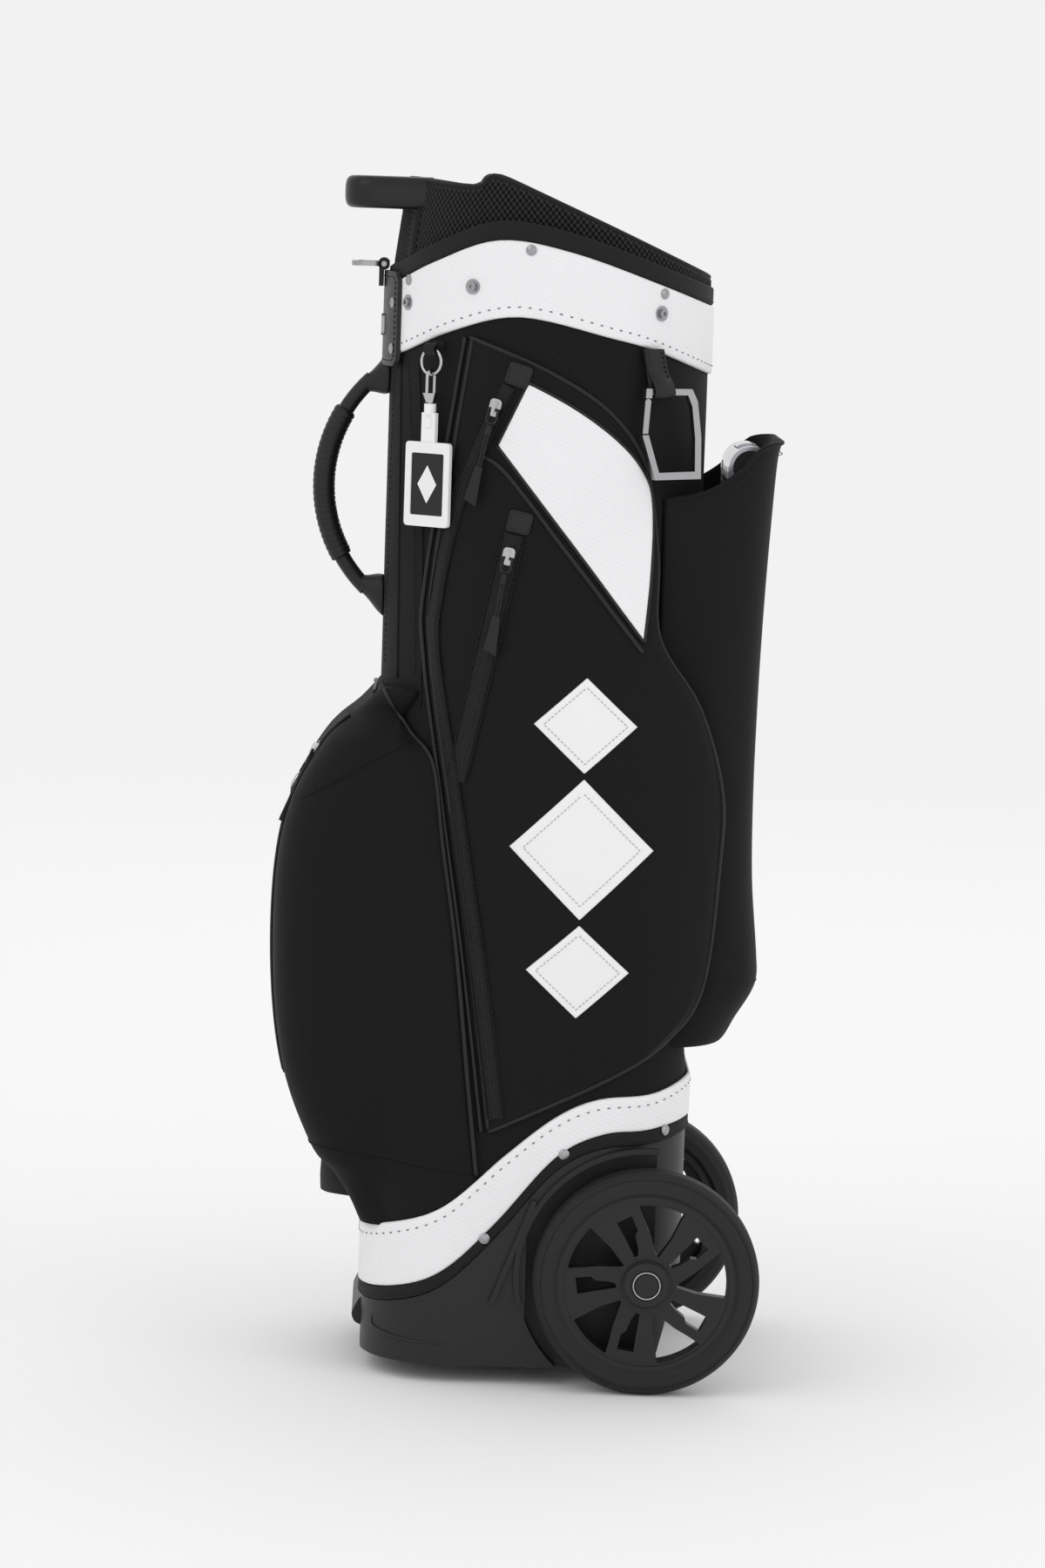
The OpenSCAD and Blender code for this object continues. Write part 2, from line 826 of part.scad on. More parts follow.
// White strap with its stud, on the hook's swivel
module tag_strap() {
    color("#ececed") tag_plane() translate([0, 0, -ring_mid - 1.6]) difference() {
        union() {
            translate([0, 0, -27.4]) cylinder(h = 7.6, r = 4.4);
            translate([0, 0, -37.25]) cube([13, 3.4, 21.5], center = true);
            translate([0, 0, -34]) across_y(3.6, -3, 0, 32);
        }
        translate([0, 0, -24]) cylinder(h = 8, r = 1.35, $fn = 24);
        translate([0, 0, -25]) cylinder(h = 2.4, r = 2.8, $fn = 24);
    }
}

// White frame with a black insert
module tag_plate() {
    tag_plane() translate([0, 0, -90]) rotate([90, 0, 0]) {
        color("#efeff0") linear_extrude(3, center = true) difference() {
            round_rect(42, 62, 3);
            round_rect(31, 46, 1.5);
        }
        color("#151516") linear_extrude(1.8, center = true) round_rect(31.4, 46.4, 1.5);
    }
}

module carabiner_plane() {
    translate([clip_x, clip_y, clip_z]) rotate([0, 0, 28]) children();
}

module carabiner_strap() {
    color("#18181a") {
        // Link from the strap in to the tube
        difference() {
            carabiner_plane() translate([-7, 9.8, 50]) cube([15, 10, 5], center = true);
            tube_solid(tube_r, 700, 800);
        }
        carabiner_plane() {
            translate([-7, 4.4, 42]) cube([17, 2.6, 22], center = true);
            translate([-7, 0, clip_bar]) rotate([0, 90, 0]) difference() {
                cylinder(h = 17, r = 5.7, center = true);
                cylinder(h = 18, r = 3.8, center = true);
            }
        }
    }
}

// Five-sided clip, open on its left for the gate
module carabiner_frame() {
    outer = [[-22, 31], [17, 31], [22, 22], [26, -4], [27, -35], [-12, -36], [-24, -4]];
    inner = [[-17, 26.4], [13.5, 26.4], [17.5, 18], [20.8, -5], [21.6, -29.6], [-9, -30.6], [-18.6, -4]];
    color("#b5b6b9") carabiner_plane() rotate([90, 0, 0]) difference() {
        linear_extrude(5, center = true) polygon(outer);
        linear_extrude(6, center = true) polygon(inner);
        linear_extrude(6, center = true) polygon([[-30, -3], [-14, -3], [-14, 24], [-30, 24]]);
    }
}

// Gate: a bar with a round barrel at its hinge
module carabiner_gate() {
    color("#a6a7aa") carabiner_plane() rotate([90, 0, 0]) linear_extrude(4, center = true) {
        polygon([[-22.4, 21], [-17.6, 21], [-19.2, -2], [-23.8, -2]]);
        translate([-20, 21]) circle(2.5);
    }
}

// ---- Zip sliders ----

// Middle and radius of the hole in a slider's bridge
bridge = [0, -4.5, -1.5];
bridge_r = 1.05;

// Slider body with its bridge
module slider_body() {
    color("#c9cacc") difference() {
        union() {
            translate([0, -1.8, 0]) rotate([90, 0, 0]) linear_extrude(2.6, center = true) round_rect(9, 13, 3);
            translate([0, -4.6, 0]) cube([2.6, 3.4, 9], center = true);
        }
        translate(bridge) rotate([0, 90, 0]) cylinder(h = 10, r = bridge_r, center = true, $fn = 24);
    }
}

// Pull: wire loop, knot, two cords and a moulded tab, hanging from the bridge
module pull_tab(cords = 30) {
    color("#c9cacc") translate(bridge) {
        rotate([0, 90, 0]) cylinder(h = 8, r = bridge_r - running_gap, center = true, $fn = 24);
        for (s = [-1, 1]) translate([s * 3.6, 0, -7]) cylinder(h = 7.6, r = 1, $fn = 24);
        translate([0, 0, -7]) rotate([90, 0, 0]) rotate([0, 0, 180])
            rotate_extrude(angle = 180, $fn = 48) translate([3.6, 0]) circle(1, $fn = 24);
    }
    color("#1a1a1b") translate(bridge) {
        translate([0, 0, -15]) cylinder(h = 7, r1 = 2.6, r2 = 2, center = true, $fn = 24);
        for (s = [-1, 1]) translate([s * 0.9, 0, -14 - cords]) cylinder(h = cords, r = 0.8, $fn = 16);
        translate([0, 0, -28 - cords]) rotate([90, 0, 0]) linear_extrude(2.6, center = true)
            polygon([[-2.8, 15], [2.8, 15], [5, -14], [-5, -11]]);
    }
}

module on_main_zip() {
    on_side(-31, 726, side_r + 1.6, 13) children();
}

module on_small_zip() {
    on_side(-18, 618, side_r + 1.8, 9) children();
}

// Frame on the ball pocket's sloping face: -Y points out, -Z runs down the zip
module ball_frame() {
    translate([-154.3, -40, 462]) rotate([0, 25, 0]) rotate([0, 0, -90]) children();
}

module ball_slider() { ball_frame() slider_body(); }
// The ball pocket's shorter pull lies closer to the pocket
module ball_pull() {
    ball_frame() translate(bridge) rotate([2, 0, 0]) translate(-bridge) pull_tab(16);
}

module left_main_slider() { on_main_zip() slider_body(); }
module left_main_pull() { on_main_zip() pull_tab(); }
module left_small_slider() { on_small_zip() slider_body(); }
module left_small_pull() { on_small_zip() pull_tab(); }
module right_main_slider() { mirror([0, 1, 0]) left_main_slider(); }
module right_main_pull() { mirror([0, 1, 0]) left_main_pull(); }

// ---- Wheels ----

// Point of the wheel's face, at a radius and an angle
function polar(r, a) = [r * cos(a), r * sin(a)];

module rim_solid() {
    half = 14;
    web_low = 3;
    web_h = 10;
    bore_r = 9;
    difference() {
        union() {
            rotate_extrude() polygon([[band_r, -half], [rim_r, -half], [rim_r, half], [band_r, half]]);
            rotate_extrude() polygon([[bore_r, -17], [hub_r, -17], [hub_r, half + 2], [bore_r, half + 2]]);
            translate([0, 0, web_low]) linear_extrude(web_h) difference() {
                circle(band_r + 1);
                circle(bore_r + 3);
                for (i = [0:spoke_pairs - 1]) {
                    wheel_window(80.5 + i * 360 / spoke_pairs);
                    wheel_slot(38 + i * 360 / spoke_pairs);
                }
            }
        }
        translate([0, 0, -20]) cylinder(h = 60, r = bore_r);
    }
}

// Wide window between two spoke pairs: a leaning wedge with a round outer edge
module wheel_window(a) {
    polygon(concat([polar(22, a - 12), polar(38, a - 17.5)], [for (k = [-3:3]) polar(window_r, a + k * 5.6)],
                   [polar(50, a + 14), polar(39, a + 8), polar(24, a - 5)]));
}

// Narrow slot inside a spoke pair, with a step along one side
module wheel_slot(a) {
    rotate(a) polygon([[22.5, -1], [28, -2.8], [37.5, -3.6], [41, -6.6], [52.5, -5.8], [51, 6.4], [22.5, 2]]);
}

module tyre_solid() {
    w = tyre_w / 2;
    rotate_extrude() polygon([[rim_r, -14.5], [69, -w], [76, -w + 0.5], [81, -w + 3.5], [83.4, -w + 7.5],
                              [wheel_r, -w + 11], [wheel_r, w - 11], [83.4, w - 7.5], [81, w - 3.5],
                              [76, w - 0.5], [69, w], [rim_r, 14.5]]);
}

module bearing_solid() {
    difference() {
        translate([0, 0, -16.5]) cylinder(h = 24.5, r = 9);
        translate([0, 0, -18]) cylinder(h = 26, r = axle_r + running_gap);
    }
}

// Hub cap: stepped face over the axle's end
module cap_solid() {
    rotate_extrude() polygon([[0, 12.5], [9, 12.5], [9, 16.1], [17, 16.1], [17, 17.4], [15.5, 18.6], [12, 18.6],
                              [11, 17.6], [9, 17.6], [8.5, 18.4], [0, 18.4]]);
}

// Stands a wheel piece on the axle, its outer face to the left or right
module at_wheel(side) {
    translate([axle_x, side * wheel_y, wheel_z]) rotate([-90 * side, 0, 0]) children();
}

module left_rim() { color("#1e1e20") at_wheel(-1) rim_solid(); }
module left_tyre() { color("#141415") at_wheel(-1) tyre_solid(); }
module left_bearing() { color("#d8d8d4") at_wheel(-1) bearing_solid(); }
module left_cap() { color("#232325") at_wheel(-1) cap_solid(); }
module right_rim() { color("#1e1e20") at_wheel(1) rim_solid(); }
module right_tyre() { color("#141415") at_wheel(1) tyre_solid(); }
module right_bearing() { color("#d8d8d4") at_wheel(1) bearing_solid(); }
module right_cap() { color("#232325") at_wheel(1) cap_solid(); }

base_shell();
base_binding();
base_band();
base_rivets();
front_foot();
floor_tray();
axle();
axle_clips();
liner_tube();
divider_sheets();
bag_shell();
divider_top();
lift_handle();
mesh_collar();
collar_binding();
collar_band();
collar_rivets();
snap_studs();
front_tab();
front_badge();
grab_handle();
ball_pocket();
under_strap();
left_pocket();
right_pocket();
side_panels();
zip_chains();
sleeve();
guide_tubes();
guide_brackets();
ring_mount();
tag_loop();
carabiner_strap();
left_rim();
left_tyre();
left_bearing();
left_cap();
right_rim();
right_tyre();
right_bearing();
right_cap();
handle_tubes();
grip_frame();
grip_core();
release_button();
towel_ring();
carabiner_frame();
carabiner_gate();
tag_ring();
snap_hook();
tag_strap();
tag_plate();
ball_slider();
ball_pull();
left_main_slider();
left_main_pull();
left_small_slider();
left_small_pull();
right_main_slider();
right_main_pull();
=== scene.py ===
from math import atan2, copysign, cos, pi, radians, sin, sqrt, tau

import bpy
from mathutils import Matrix, Vector, noise
from mathutils.bvhtree import BVHTree


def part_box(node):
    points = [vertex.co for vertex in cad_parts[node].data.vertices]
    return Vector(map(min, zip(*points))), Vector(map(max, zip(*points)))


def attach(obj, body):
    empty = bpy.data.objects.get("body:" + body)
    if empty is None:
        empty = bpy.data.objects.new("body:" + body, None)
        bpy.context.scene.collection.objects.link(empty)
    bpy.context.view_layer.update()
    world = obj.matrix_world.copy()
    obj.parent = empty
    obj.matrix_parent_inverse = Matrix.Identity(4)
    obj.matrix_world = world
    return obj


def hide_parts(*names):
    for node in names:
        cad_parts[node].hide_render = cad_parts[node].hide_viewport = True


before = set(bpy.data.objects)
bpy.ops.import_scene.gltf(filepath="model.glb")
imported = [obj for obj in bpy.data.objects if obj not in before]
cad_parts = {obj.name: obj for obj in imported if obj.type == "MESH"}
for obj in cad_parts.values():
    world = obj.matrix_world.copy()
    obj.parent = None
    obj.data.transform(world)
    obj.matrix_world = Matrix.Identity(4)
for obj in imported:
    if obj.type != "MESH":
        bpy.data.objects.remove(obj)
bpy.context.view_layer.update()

# Shapes are worked out in millimetres and scaled to metres when a piece is made.
MM = 0.001


def node_box(node):
    low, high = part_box(node)
    return low / MM, high / MM


shell_low, shell_high = node_box("bag_shell")
sleeve_low, sleeve_high = node_box("sleeve")
tab_low, tab_high = node_box("front_tab")
TUBE_X = (shell_low.x + shell_high.x) / 2
TUBE_R = (shell_high.y - shell_low.y) / 2
# Half width of the square lower body, and the radius of its corners
BODY_HALF, BASE_CORNER = 120, 65
SQUARE_TOP = 230
ROUND_Z = 330
COLLAR_Z = 826
COLLAR_LEAN = 9
BINDING_H = 14
HOLLOW_R = 112
LENS_X, LENS_Z, LENS_R, LENS_ARC = 46, 400, 136, 1000
# Spacer mesh: cells round the collar, and the height of one
CELLS, CELL_H = 157, 5.6
# Stretch of the fine drawn marks in metal
DRAWN = (1.0, 1.0, 14.0)
# Tone of the plain studio background
STUDIO = 0.89
# Middle of the clip in plan
CLIP_X, CLIP_Y = 97, -98
# Rear sleeve: half width, top, and the middle that its stitches stand off from
SLEEVE_HALF, SLEEVE_TOP, SLEEVE_MIDDLE = sleeve_high.y, 704, 120

# Height lines and outlines in the side view, as [distance behind the origin, height]
SHELL_LINE = [[-150, 48], [-90, 58], [-50, 74], [-12, 111], [30, 161], [65, 180], [100, 183], [150, 192]]
BAND_LINE = [[-150, 100], [-95, 116], [-50, 134], [-6, 174], [31, 204], [63, 218], [105, 222], [150, 240]]
COLLAR_LOW = [[-150, 742], [-108, 758], [-64, 780], [-15, 792], [50, 779], [90, 768], [150, 742]]
COLLAR_TOP = [[-150, 794], [-112, 810], [-78, 830], [-32, 847.5], [22, 840], [91, 817], [150, 794]]
RIM_LINE = [[-150, 893], [-100, 891], [-52, 886.5], [-41, 895], [-17, 888], [47, 861], [101, 836], [150, 812]]
POCKET_REAR = [[-50, 776], [8, 753], [54, 724], [82, 684], [93, 620], [96, 560], [128, 508], [147, 446],
               [147, 390], [138, 300], [112, 260], [64, 230], [-20, 190]]
POCKET_FRONT = [[-50, 776], [-73, 600], [-73, 540], [-55, 425], [-38, 320], [-20, 190]]
PANEL_FRONT = [[-8, 745], [-29, 698], [27, 628], [83, 557]]
PANEL_REAR = [[-8, 745], [27, 727], [58, 705], [77, 684], [86, 660], [87, 610], [83, 557]]
FACING_SEAM = [[-14, 784], [20, 757], [52, 721], [79, 684]]
LOWER_PIPING = [[-39, 690], [-20, 676], [27, 618], [83, 549]]
ZIP_MAIN = [[-22, 742], [-36, 712], [-58, 650], [-69, 590], [-70, 540], [-50, 425], [-32, 320], [-14, 200]]
ZIP_SMALL = [[-15, 634], [-33, 542], [-51, 450]]
# Ball pocket: [height, foremost distance, half width, corner radius], and its edge on the tube
BALL_SECTIONS = [[114, -113, 80, 20], [126, -119, 85, 22], [138, -127, 90, 24], [150, -136, 94, 30],
                 [168, -152, 98, 36], [231, -175, 103, 40], [325, -184, 102, 44], [412, -177.5, 97, 44],
                 [471, -150, 88, 40], [500, -121, 74, 34], [514, -108, 60, 28]]
BALL_EDGE = [[-105, 514], [-98, 500], [-84, 481], [-67, 460], [-58, 400], [-46, 325], [-35, 231], [-27, 165],
             [-24, 138], [-24, 114]]
# Place across the front and lower end of the ball pocket's zip
BALL_ZIP_Y, BALL_ZIP_LOW = -40, 214
SLEEVE_REAR = [[184, 704], [181, 690], [178, 641], [175, 575], [173, 509], [172.5, 442], [174, 376],
               [179, 322], [180, 303], [176, 290], [165, 272], [154, 254], [140, 252]]
SLEEVE_MOUTH = [[60, 658], [98, 660], [128, 667], [152, 683], [168, 700], [190, 704]]


# ---- Numbers and curves ----

def vec(*place):
    return Vector(place)


def clamp(t):
    return max(0.0, min(1.0, t))


def ease(t):
    t = clamp(t)
    return t * t * (3 - 2 * t)


def mix(a, b, t):
    return a + (b - a) * t


def ramp(count):
    """Evenly spaced values from 0 to 1."""
    return [i / count for i in range(count + 1)]


def angles(count):
    """Evenly spaced angles once round."""
    return [tau * i / count for i in range(count)]


def quarter(count):
    """Evenly spaced angles over a quarter turn, without the first."""
    return [pi / 2 * i / count for i in range(1, count + 1)]


def squared(value, power):
    """A sine or cosine bent towards a square's."""
    return copysign(abs(value) ** power, value)


def found(places):
    """The places where a ray hit something."""
    return [p for p in places if p]


def flip(p):
    """The same place on the other side of the bag."""
    return vec(p.x, -p.y, p.z)


def both_sides(path):
    """A path that ends on the middle plane, carried on by its mirror image."""
    return path + [flip(p) for p in path[-2::-1]]


def level_side(path, i):
    """Level direction across a path at one of its points."""
    ahead = path[min(i + 1, len(path) - 1)] - path[max(i - 1, 0)]
    return vec(0, 0, 1).cross(ahead.normalized())


def smooth(points, steps=6):
    """Catmull-Rom curve through given points of any size."""
    n = len(points)
    out = []
    for i in range(n - 1):
        a, b, c, d = (Vector(points[max(0, min(n - 1, i + k))]) for k in (-1, 0, 1, 2))
        for k in range(steps):
            t = k / steps
            out.append(0.5 * (2 * b + (c - a) * t + (2 * a - 5 * b + 4 * c - d) * t ** 2
                              + (3 * b - a - 3 * c + d) * t ** 3))
    out.append(Vector(points[-1]))
    return out


class Line:
    """A smoothed line that is read at a value of one coordinate."""

    def __init__(self, points, key=0, steps=6):
        rows = sorted(([p[key]] + [v for i, v in enumerate(p) if i != key] for p in smooth(points, steps)),
                      key=lambda r: r[0])
        self.rows = rows

    def at(self, t, column=1):
        rows = self.rows
        if t <= rows[0][0]:
            return rows[0][column]
        for a, b in zip(rows, rows[1:]):
            if t <= b[0]:
                return mix(a[column], b[column], (t - a[0]) / max(b[0] - a[0], 1e-6))
        return rows[-1][column]


shell_line, band_line = Line(SHELL_LINE), Line(BAND_LINE)
collar_low, collar_top, rim_line = Line(COLLAR_LOW), Line(COLLAR_TOP), Line(RIM_LINE, steps=3)
pocket_front, pocket_rear = Line(POCKET_FRONT, 1), Line(POCKET_REAR, 1)
ball_front, ball_edge = Line(BALL_SECTIONS), Line(BALL_EDGE, 1)
sleeve_mouth = Line(SLEEVE_MOUTH)


def even(path, step):
    """The same path with points a fixed step apart."""
    out, left = [path[0].copy()], step
    for a, b in zip(path, path[1:]):
        d = (b - a).length
        while d >= left > 0:
            a = a + (b - a) * (left / d)
            out.append(a.copy())
            d, left = (b - a).length, step
        left -= d
    return out


# ---- The body's surface ----

def square_reach(c, s, half, corner):
    """Distance from the middle of a square with round corners to its edge, in direction (c, s)."""
    c, s, q = abs(c), abs(s), half - corner
    if c > 0 and half / c * s <= q:
        return half / c
    if s > 0 and half / s * c <= q:
        return half / s
    b = q * (c + s)
    return b + sqrt(b * b - 2 * q * q + corner * corner)


def polar(r, angle, z):
    """Point at a distance from the tube's axis."""
    return vec(TUBE_X + r * cos(angle), r * sin(angle), z)


def shell(angle, z, extra=0.0):
    """Point on the padded body: square below, round above."""
    half = TUBE_R + extra
    square = square_reach(cos(angle), sin(angle), half, BASE_CORNER - BODY_HALF + half)
    r = mix(square, half, clamp((z - SQUARE_TOP) / (ROUND_Z - SQUARE_TOP)))
    return polar(r, angle, z)


def on_line(angle, line, extra=0.0, lift=0.0):
    """Point on the body at a height line."""
    x = shell(angle, line.at(0) + lift, extra).x
    return shell(angle, line.at(x) + lift, extra)


def reach(across, z):
    """Distance from the tube's middle plane to its surface, at a distance to one side."""
    d = min(abs(across), TUBE_R)
    q = BODY_HALF - BASE_CORNER
    corner = TUBE_R - q
    square = TUBE_R if d < q else q + sqrt(max(0.0, corner ** 2 - (d - q) ** 2))
    circle = sqrt(max(0.0, TUBE_R ** 2 - d ** 2))
    return mix(square, circle, clamp((z - SQUARE_TOP) / (ROUND_Z - SQUARE_TOP)))


def body_y(x, z):
    """Half width of the body at a distance behind the origin."""
    return reach(x - TUBE_X, z)


# ---- Meshes ----

def link(name, data):
    """A new object in the scene."""
    obj = bpy.data.objects.new(name, data)
    bpy.context.scene.collection.objects.link(obj)
    return obj


class Shape:
    """Collects closed strips and lofts into one mesh."""

    def __init__(self):
        self.verts, self.faces = [], []

    def loft(self, rows, around=True, along=False, ends=False):
        """Faces between equal rows: around closes each row, along joins the last row to the first."""
        base, n, m = len(self.verts), len(rows), len(rows[0])
        for row in rows:
            self.verts.extend(Vector(p) for p in row)
        for i in range(n if along else n - 1):
            for j in range(m if around else m - 1):
                a, b = base + i * m + j, base + i * m + (j + 1) % m
                c, d = base + ((i + 1) % n) * m + (j + 1) % m, base + ((i + 1) % n) * m + j
                self.faces.append((a, b, c, d))
        if ends:
            self.faces.append(tuple(base + j for j in reversed(range(m))))
            self.faces.append(tuple(base + (n - 1) * m + j for j in range(m)))
        return self

    def tube(self, path, radius, sides=8, closed=False, wide=1.0, out=None):
        """Tube along a path. wide stretches it across the direction that out gives."""
        n, rows, side = len(path), [], None
        for i, p in enumerate(path):
            a = path[(i - 1) % n] if closed or i else p
            b = path[(i + 1) % n] if closed or i < n - 1 else p
            ahead = (b - a).normalized()
            if out:
                side = ahead.cross(out(p))
            elif side is None:
                side = ahead.orthogonal()
            side = (side - ahead * side.dot(ahead)).normalized()
            up = side.cross(ahead)
            r = radius(i / max(n - 1, 1)) if callable(radius) else radius
            rows.append([p + (side * cos(t) * wide + up * sin(t)) * r for t in angles(sides)])
        return self.loft(rows, along=closed, ends=not closed)

    def stitches(self, path, pitch=5.0, length=3.2, radius=0.42):
        """Short thread dashes along a path."""
        points = even(path, pitch / 4)
        for i in range(2, len(points) - 3, 4):
            ahead = (points[i + 1] - points[i - 1]).normalized()
            half = ahead * length / 2
            middle = points[i]
            self.tube([middle - half, middle - half * 0.6, middle + half * 0.6, middle + half],
                      lambda t: radius * (0.35 if t in (0, 1) else 1), sides=6)
        return self

    def mirror(self):
        """The same shape on the other side of the bag."""
        other = Shape()
        other.verts = [flip(v) for v in self.verts]
        other.faces = [tuple(reversed(f)) for f in self.faces]
        return other

    def join(self, other):
        base = len(self.verts)
        self.verts.extend(other.verts)
        self.faces.extend(tuple(base + i for i in f) for f in other.faces)
        return self

    def both(self):
        return self.join(self.mirror())

    def piece(self, name, look, body="bag", slot=None, flat=False):
        mesh = bpy.data.meshes.new(name)
        mesh.from_pydata([v * MM for v in self.verts], [], self.faces)
        mesh.validate()
        mesh.materials.append(look)
        mesh.polygons.foreach_set("use_smooth", [not flat] * len(mesh.polygons))
        obj = link(name, mesh)
        bpy.context.view_layer.objects.active = obj
        obj.select_set(True)
        bpy.ops.object.mode_set(mode="EDIT")
        bpy.ops.mesh.select_all(action="SELECT")
        bpy.ops.mesh.normals_make_consistent(inside=False)
        bpy.ops.object.mode_set(mode="OBJECT")
        obj.select_set(False)
        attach(obj, body)
        return obj


class Skin:
    """Reads places on the surface of finished pieces."""

    def __init__(self, *objects):
        verts, faces = [], []
        for o in objects:
            base = len(verts)
            verts.extend(v.co / MM for v in o.data.vertices)
            faces.extend([base + i for i in p.vertices] for p in o.data.polygons)
        self.tree = BVHTree.FromPolygons(verts, faces)

    def ray(self, start, direction, lift):
        place, normal, _, _ = self.tree.ray_cast(Vector(start), Vector(direction))
        if place is None:
            return None
        if normal.dot(Vector(direction)) > 0:
            normal = -normal
        return place + normal * lift

    def left(self, x, z, lift=0.0):
        return self.ray((x, -300, z), (0, 1, 0), lift)

    def front(self, y, z, lift=0.0):
        return self.ray((-300, y, z), (1, 0, 0), lift)

    def left_path(self, points, lift=0.0, steps=8, straight=False):
        flat = even([Vector(p) for p in points], 4) if straight else smooth(points, steps)
        return found(self.left(p[0], p[1], lift) for p in flat)

    def outward(self, p):
        place, normal, _, _ = self.tree.find_nearest(p)
        return normal if normal.dot(p - vec(TUBE_X, 0, p.z)) > 0 else -normal


def round_outline(width, height, corner, steps=6):
    """Outline of a rectangle with round corners, as (across, up) points."""
    out = []
    for sx, sz, first in ((1, 1, 0), (-1, 1, 90), (-1, -1, 180), (1, -1, 270)):
        for k in range(steps + 1):
            a = radians(first + 90 * k / steps)
            out.append((sx * (width / 2 - corner) + corner * cos(a),
                        sz * (height / 2 - corner) + corner * sin(a)))
    return out


def rounded(d, width):
    """Height of a rounded edge, from 0 at the edge to 1 at width inside it."""
    return sqrt(max(0.0, 1 - (1 - clamp(d / width)) ** 2))


# ---- Materials ----

def new_node(tree, kind, values=None, operation=None):
    """A shader node. values gives each input a number, or the socket that feeds it."""
    made = tree.nodes.new("ShaderNode" + kind)
    if operation:
        made.operation = operation
    for key, value in (values or {}).items():
        if isinstance(value, bpy.types.NodeSocket):
            tree.links.new(value, made.inputs[key])
        else:
            made.inputs[key].default_value = value
    return made


def looks(name, colour, rough, metallic=0.0, sheen=0.0, coat=0.0, spot=0.06, spot_size=60.0, gloss=0.5):
    """Base material: a little colour and roughness variation, ready for a bump pattern."""
    mat = bpy.data.materials.new(name)
    mat.use_nodes = True
    tree = mat.node_tree
    tree.nodes.clear()
    coords = new_node(tree, "TexCoord").outputs["Object"]
    cloud = new_node(tree, "TexNoise", {"Scale": spot_size, "Detail": 5, "Vector": coords}).outputs["Fac"]
    tint = new_node(tree, "MapRange", {"To Min": 1 - spot, "To Max": 1 + spot, "Value": cloud})
    shade = new_node(tree, "VectorMath", {0: colour, "Scale": tint.outputs["Result"]}, "SCALE")
    matt = new_node(tree, "MapRange", {
        "To Min": clamp(rough - 0.06), "To Max": clamp(rough + 0.06), "Value": cloud})
    bsdf = new_node(tree, "BsdfPrincipled", {
        "Metallic": metallic, "Sheen Weight": sheen, "Coat Weight": coat, "Specular IOR Level": gloss,
        "Base Color": shade.outputs["Vector"], "Roughness": matt.outputs["Result"]})
    new_node(tree, "OutputMaterial", {"Surface": bsdf.outputs["BSDF"]})
    return mat, tree, bsdf, coords


def maths(tree, kind, a, b=None):
    return new_node(tree, "Math", {i: v for i, v in enumerate((a, b)) if v is not None}, kind).outputs[0]


def around_up(tree, coords):
    """Distance round the tube and height, in millimetres, from the place in the frame."""
    split = new_node(tree, "SeparateXYZ", {0: coords})
    back = maths(tree, "SUBTRACT", split.outputs["X"], TUBE_X * MM)
    angle = maths(tree, "ARCTAN2", split.outputs["Y"], back)
    return maths(tree, "MULTIPLY", angle, TUBE_R), maths(tree, "MULTIPLY", split.outputs["Z"], 1000.0)


def ripple(tree, value, pitch):
    return maths(tree, "SINE", maths(tree, "MULTIPLY", value, tau / pitch))


def bump(tree, bsdf, height, depth):
    made = new_node(tree, "Bump", {"Distance": depth * MM, "Strength": 1.0, "Height": height})
    tree.links.new(made.outputs["Normal"], bsdf.inputs["Normal"])


def woven(name, colour, rough=0.78, pitch=1.1, depth=0.05, sheen=0.03, spot=0.1):
    """Plain weave nylon."""
    mat, tree, bsdf, coords = looks(name, colour, rough, sheen=sheen, spot=spot, gloss=0.12)
    u, v = around_up(tree, coords)
    bump(tree, bsdf, maths(tree, "MULTIPLY", ripple(tree, u, pitch), ripple(tree, v, pitch)), depth)
    return mat


def webbing(name, colour, pitch=2.2, depth=0.14):
    """Ribbed herringbone webbing."""
    mat, tree, bsdf, coords = looks(name, colour, 0.7, sheen=0.04, spot=0.12, gloss=0.15)
    u, v = around_up(tree, coords)
    zigzag = maths(tree, "PINGPONG", v, pitch)
    bump(tree, bsdf, ripple(tree, maths(tree, "ADD", u, zigzag), pitch), depth)
    return mat


def spacer_mesh(name, colour):
    """Knitted spacer mesh: the strands keep the colour, and the pits between them are darkened with painted
    shade.
    """
    mat, tree, bsdf, coords = looks(name, colour, 0.75, sheen=0.04, spot=0.1, gloss=0.2)
    u, v = around_up(tree, coords)
    across = maths(tree, "COSINE", maths(tree, "MULTIPLY", u, CELLS / TUBE_R))
    up = maths(tree, "COSINE", maths(tree, "MULTIPLY", v, tau / CELL_H))
    # Painted shade: pit is high in the pits between the strands, and the colour is darkened there as if in
    # shadow
    pit = maths(tree, "MINIMUM", maths(tree, "ABSOLUTE", maths(tree, "ADD", across, up)), 1.1)
    shade = maths(tree, "SUBTRACT", 1.0, maths(tree, "MULTIPLY", pit, 0.75))
    plain = bsdf.inputs["Base Color"].links[0].from_socket
    dark = new_node(tree, "VectorMath", {0: plain, "Scale": shade}, "SCALE")
    tree.links.new(dark.outputs["Vector"], bsdf.inputs["Base Color"])
    bump(tree, bsdf, maths(tree, "MULTIPLY", ripple(tree, u, 0.7), ripple(tree, v, 0.7)), 0.05)
    return mat


def ribbed_leather(name, colour):
    """Leatherette embossed with fine slanting ribs."""
    mat, tree, bsdf, coords = looks(name, colour, 0.5, coat=0.08, spot=0.015, spot_size=25)
    u, v = around_up(tree, coords)
    slant = maths(tree, "ADD", maths(tree, "MULTIPLY", u, 0.55), v)
    rib = maths(tree, "ABSOLUTE", ripple(tree, slant, 7.2))
    bump(tree, bsdf, maths(tree, "POWER", rib, 0.4), 0.22)
    return mat


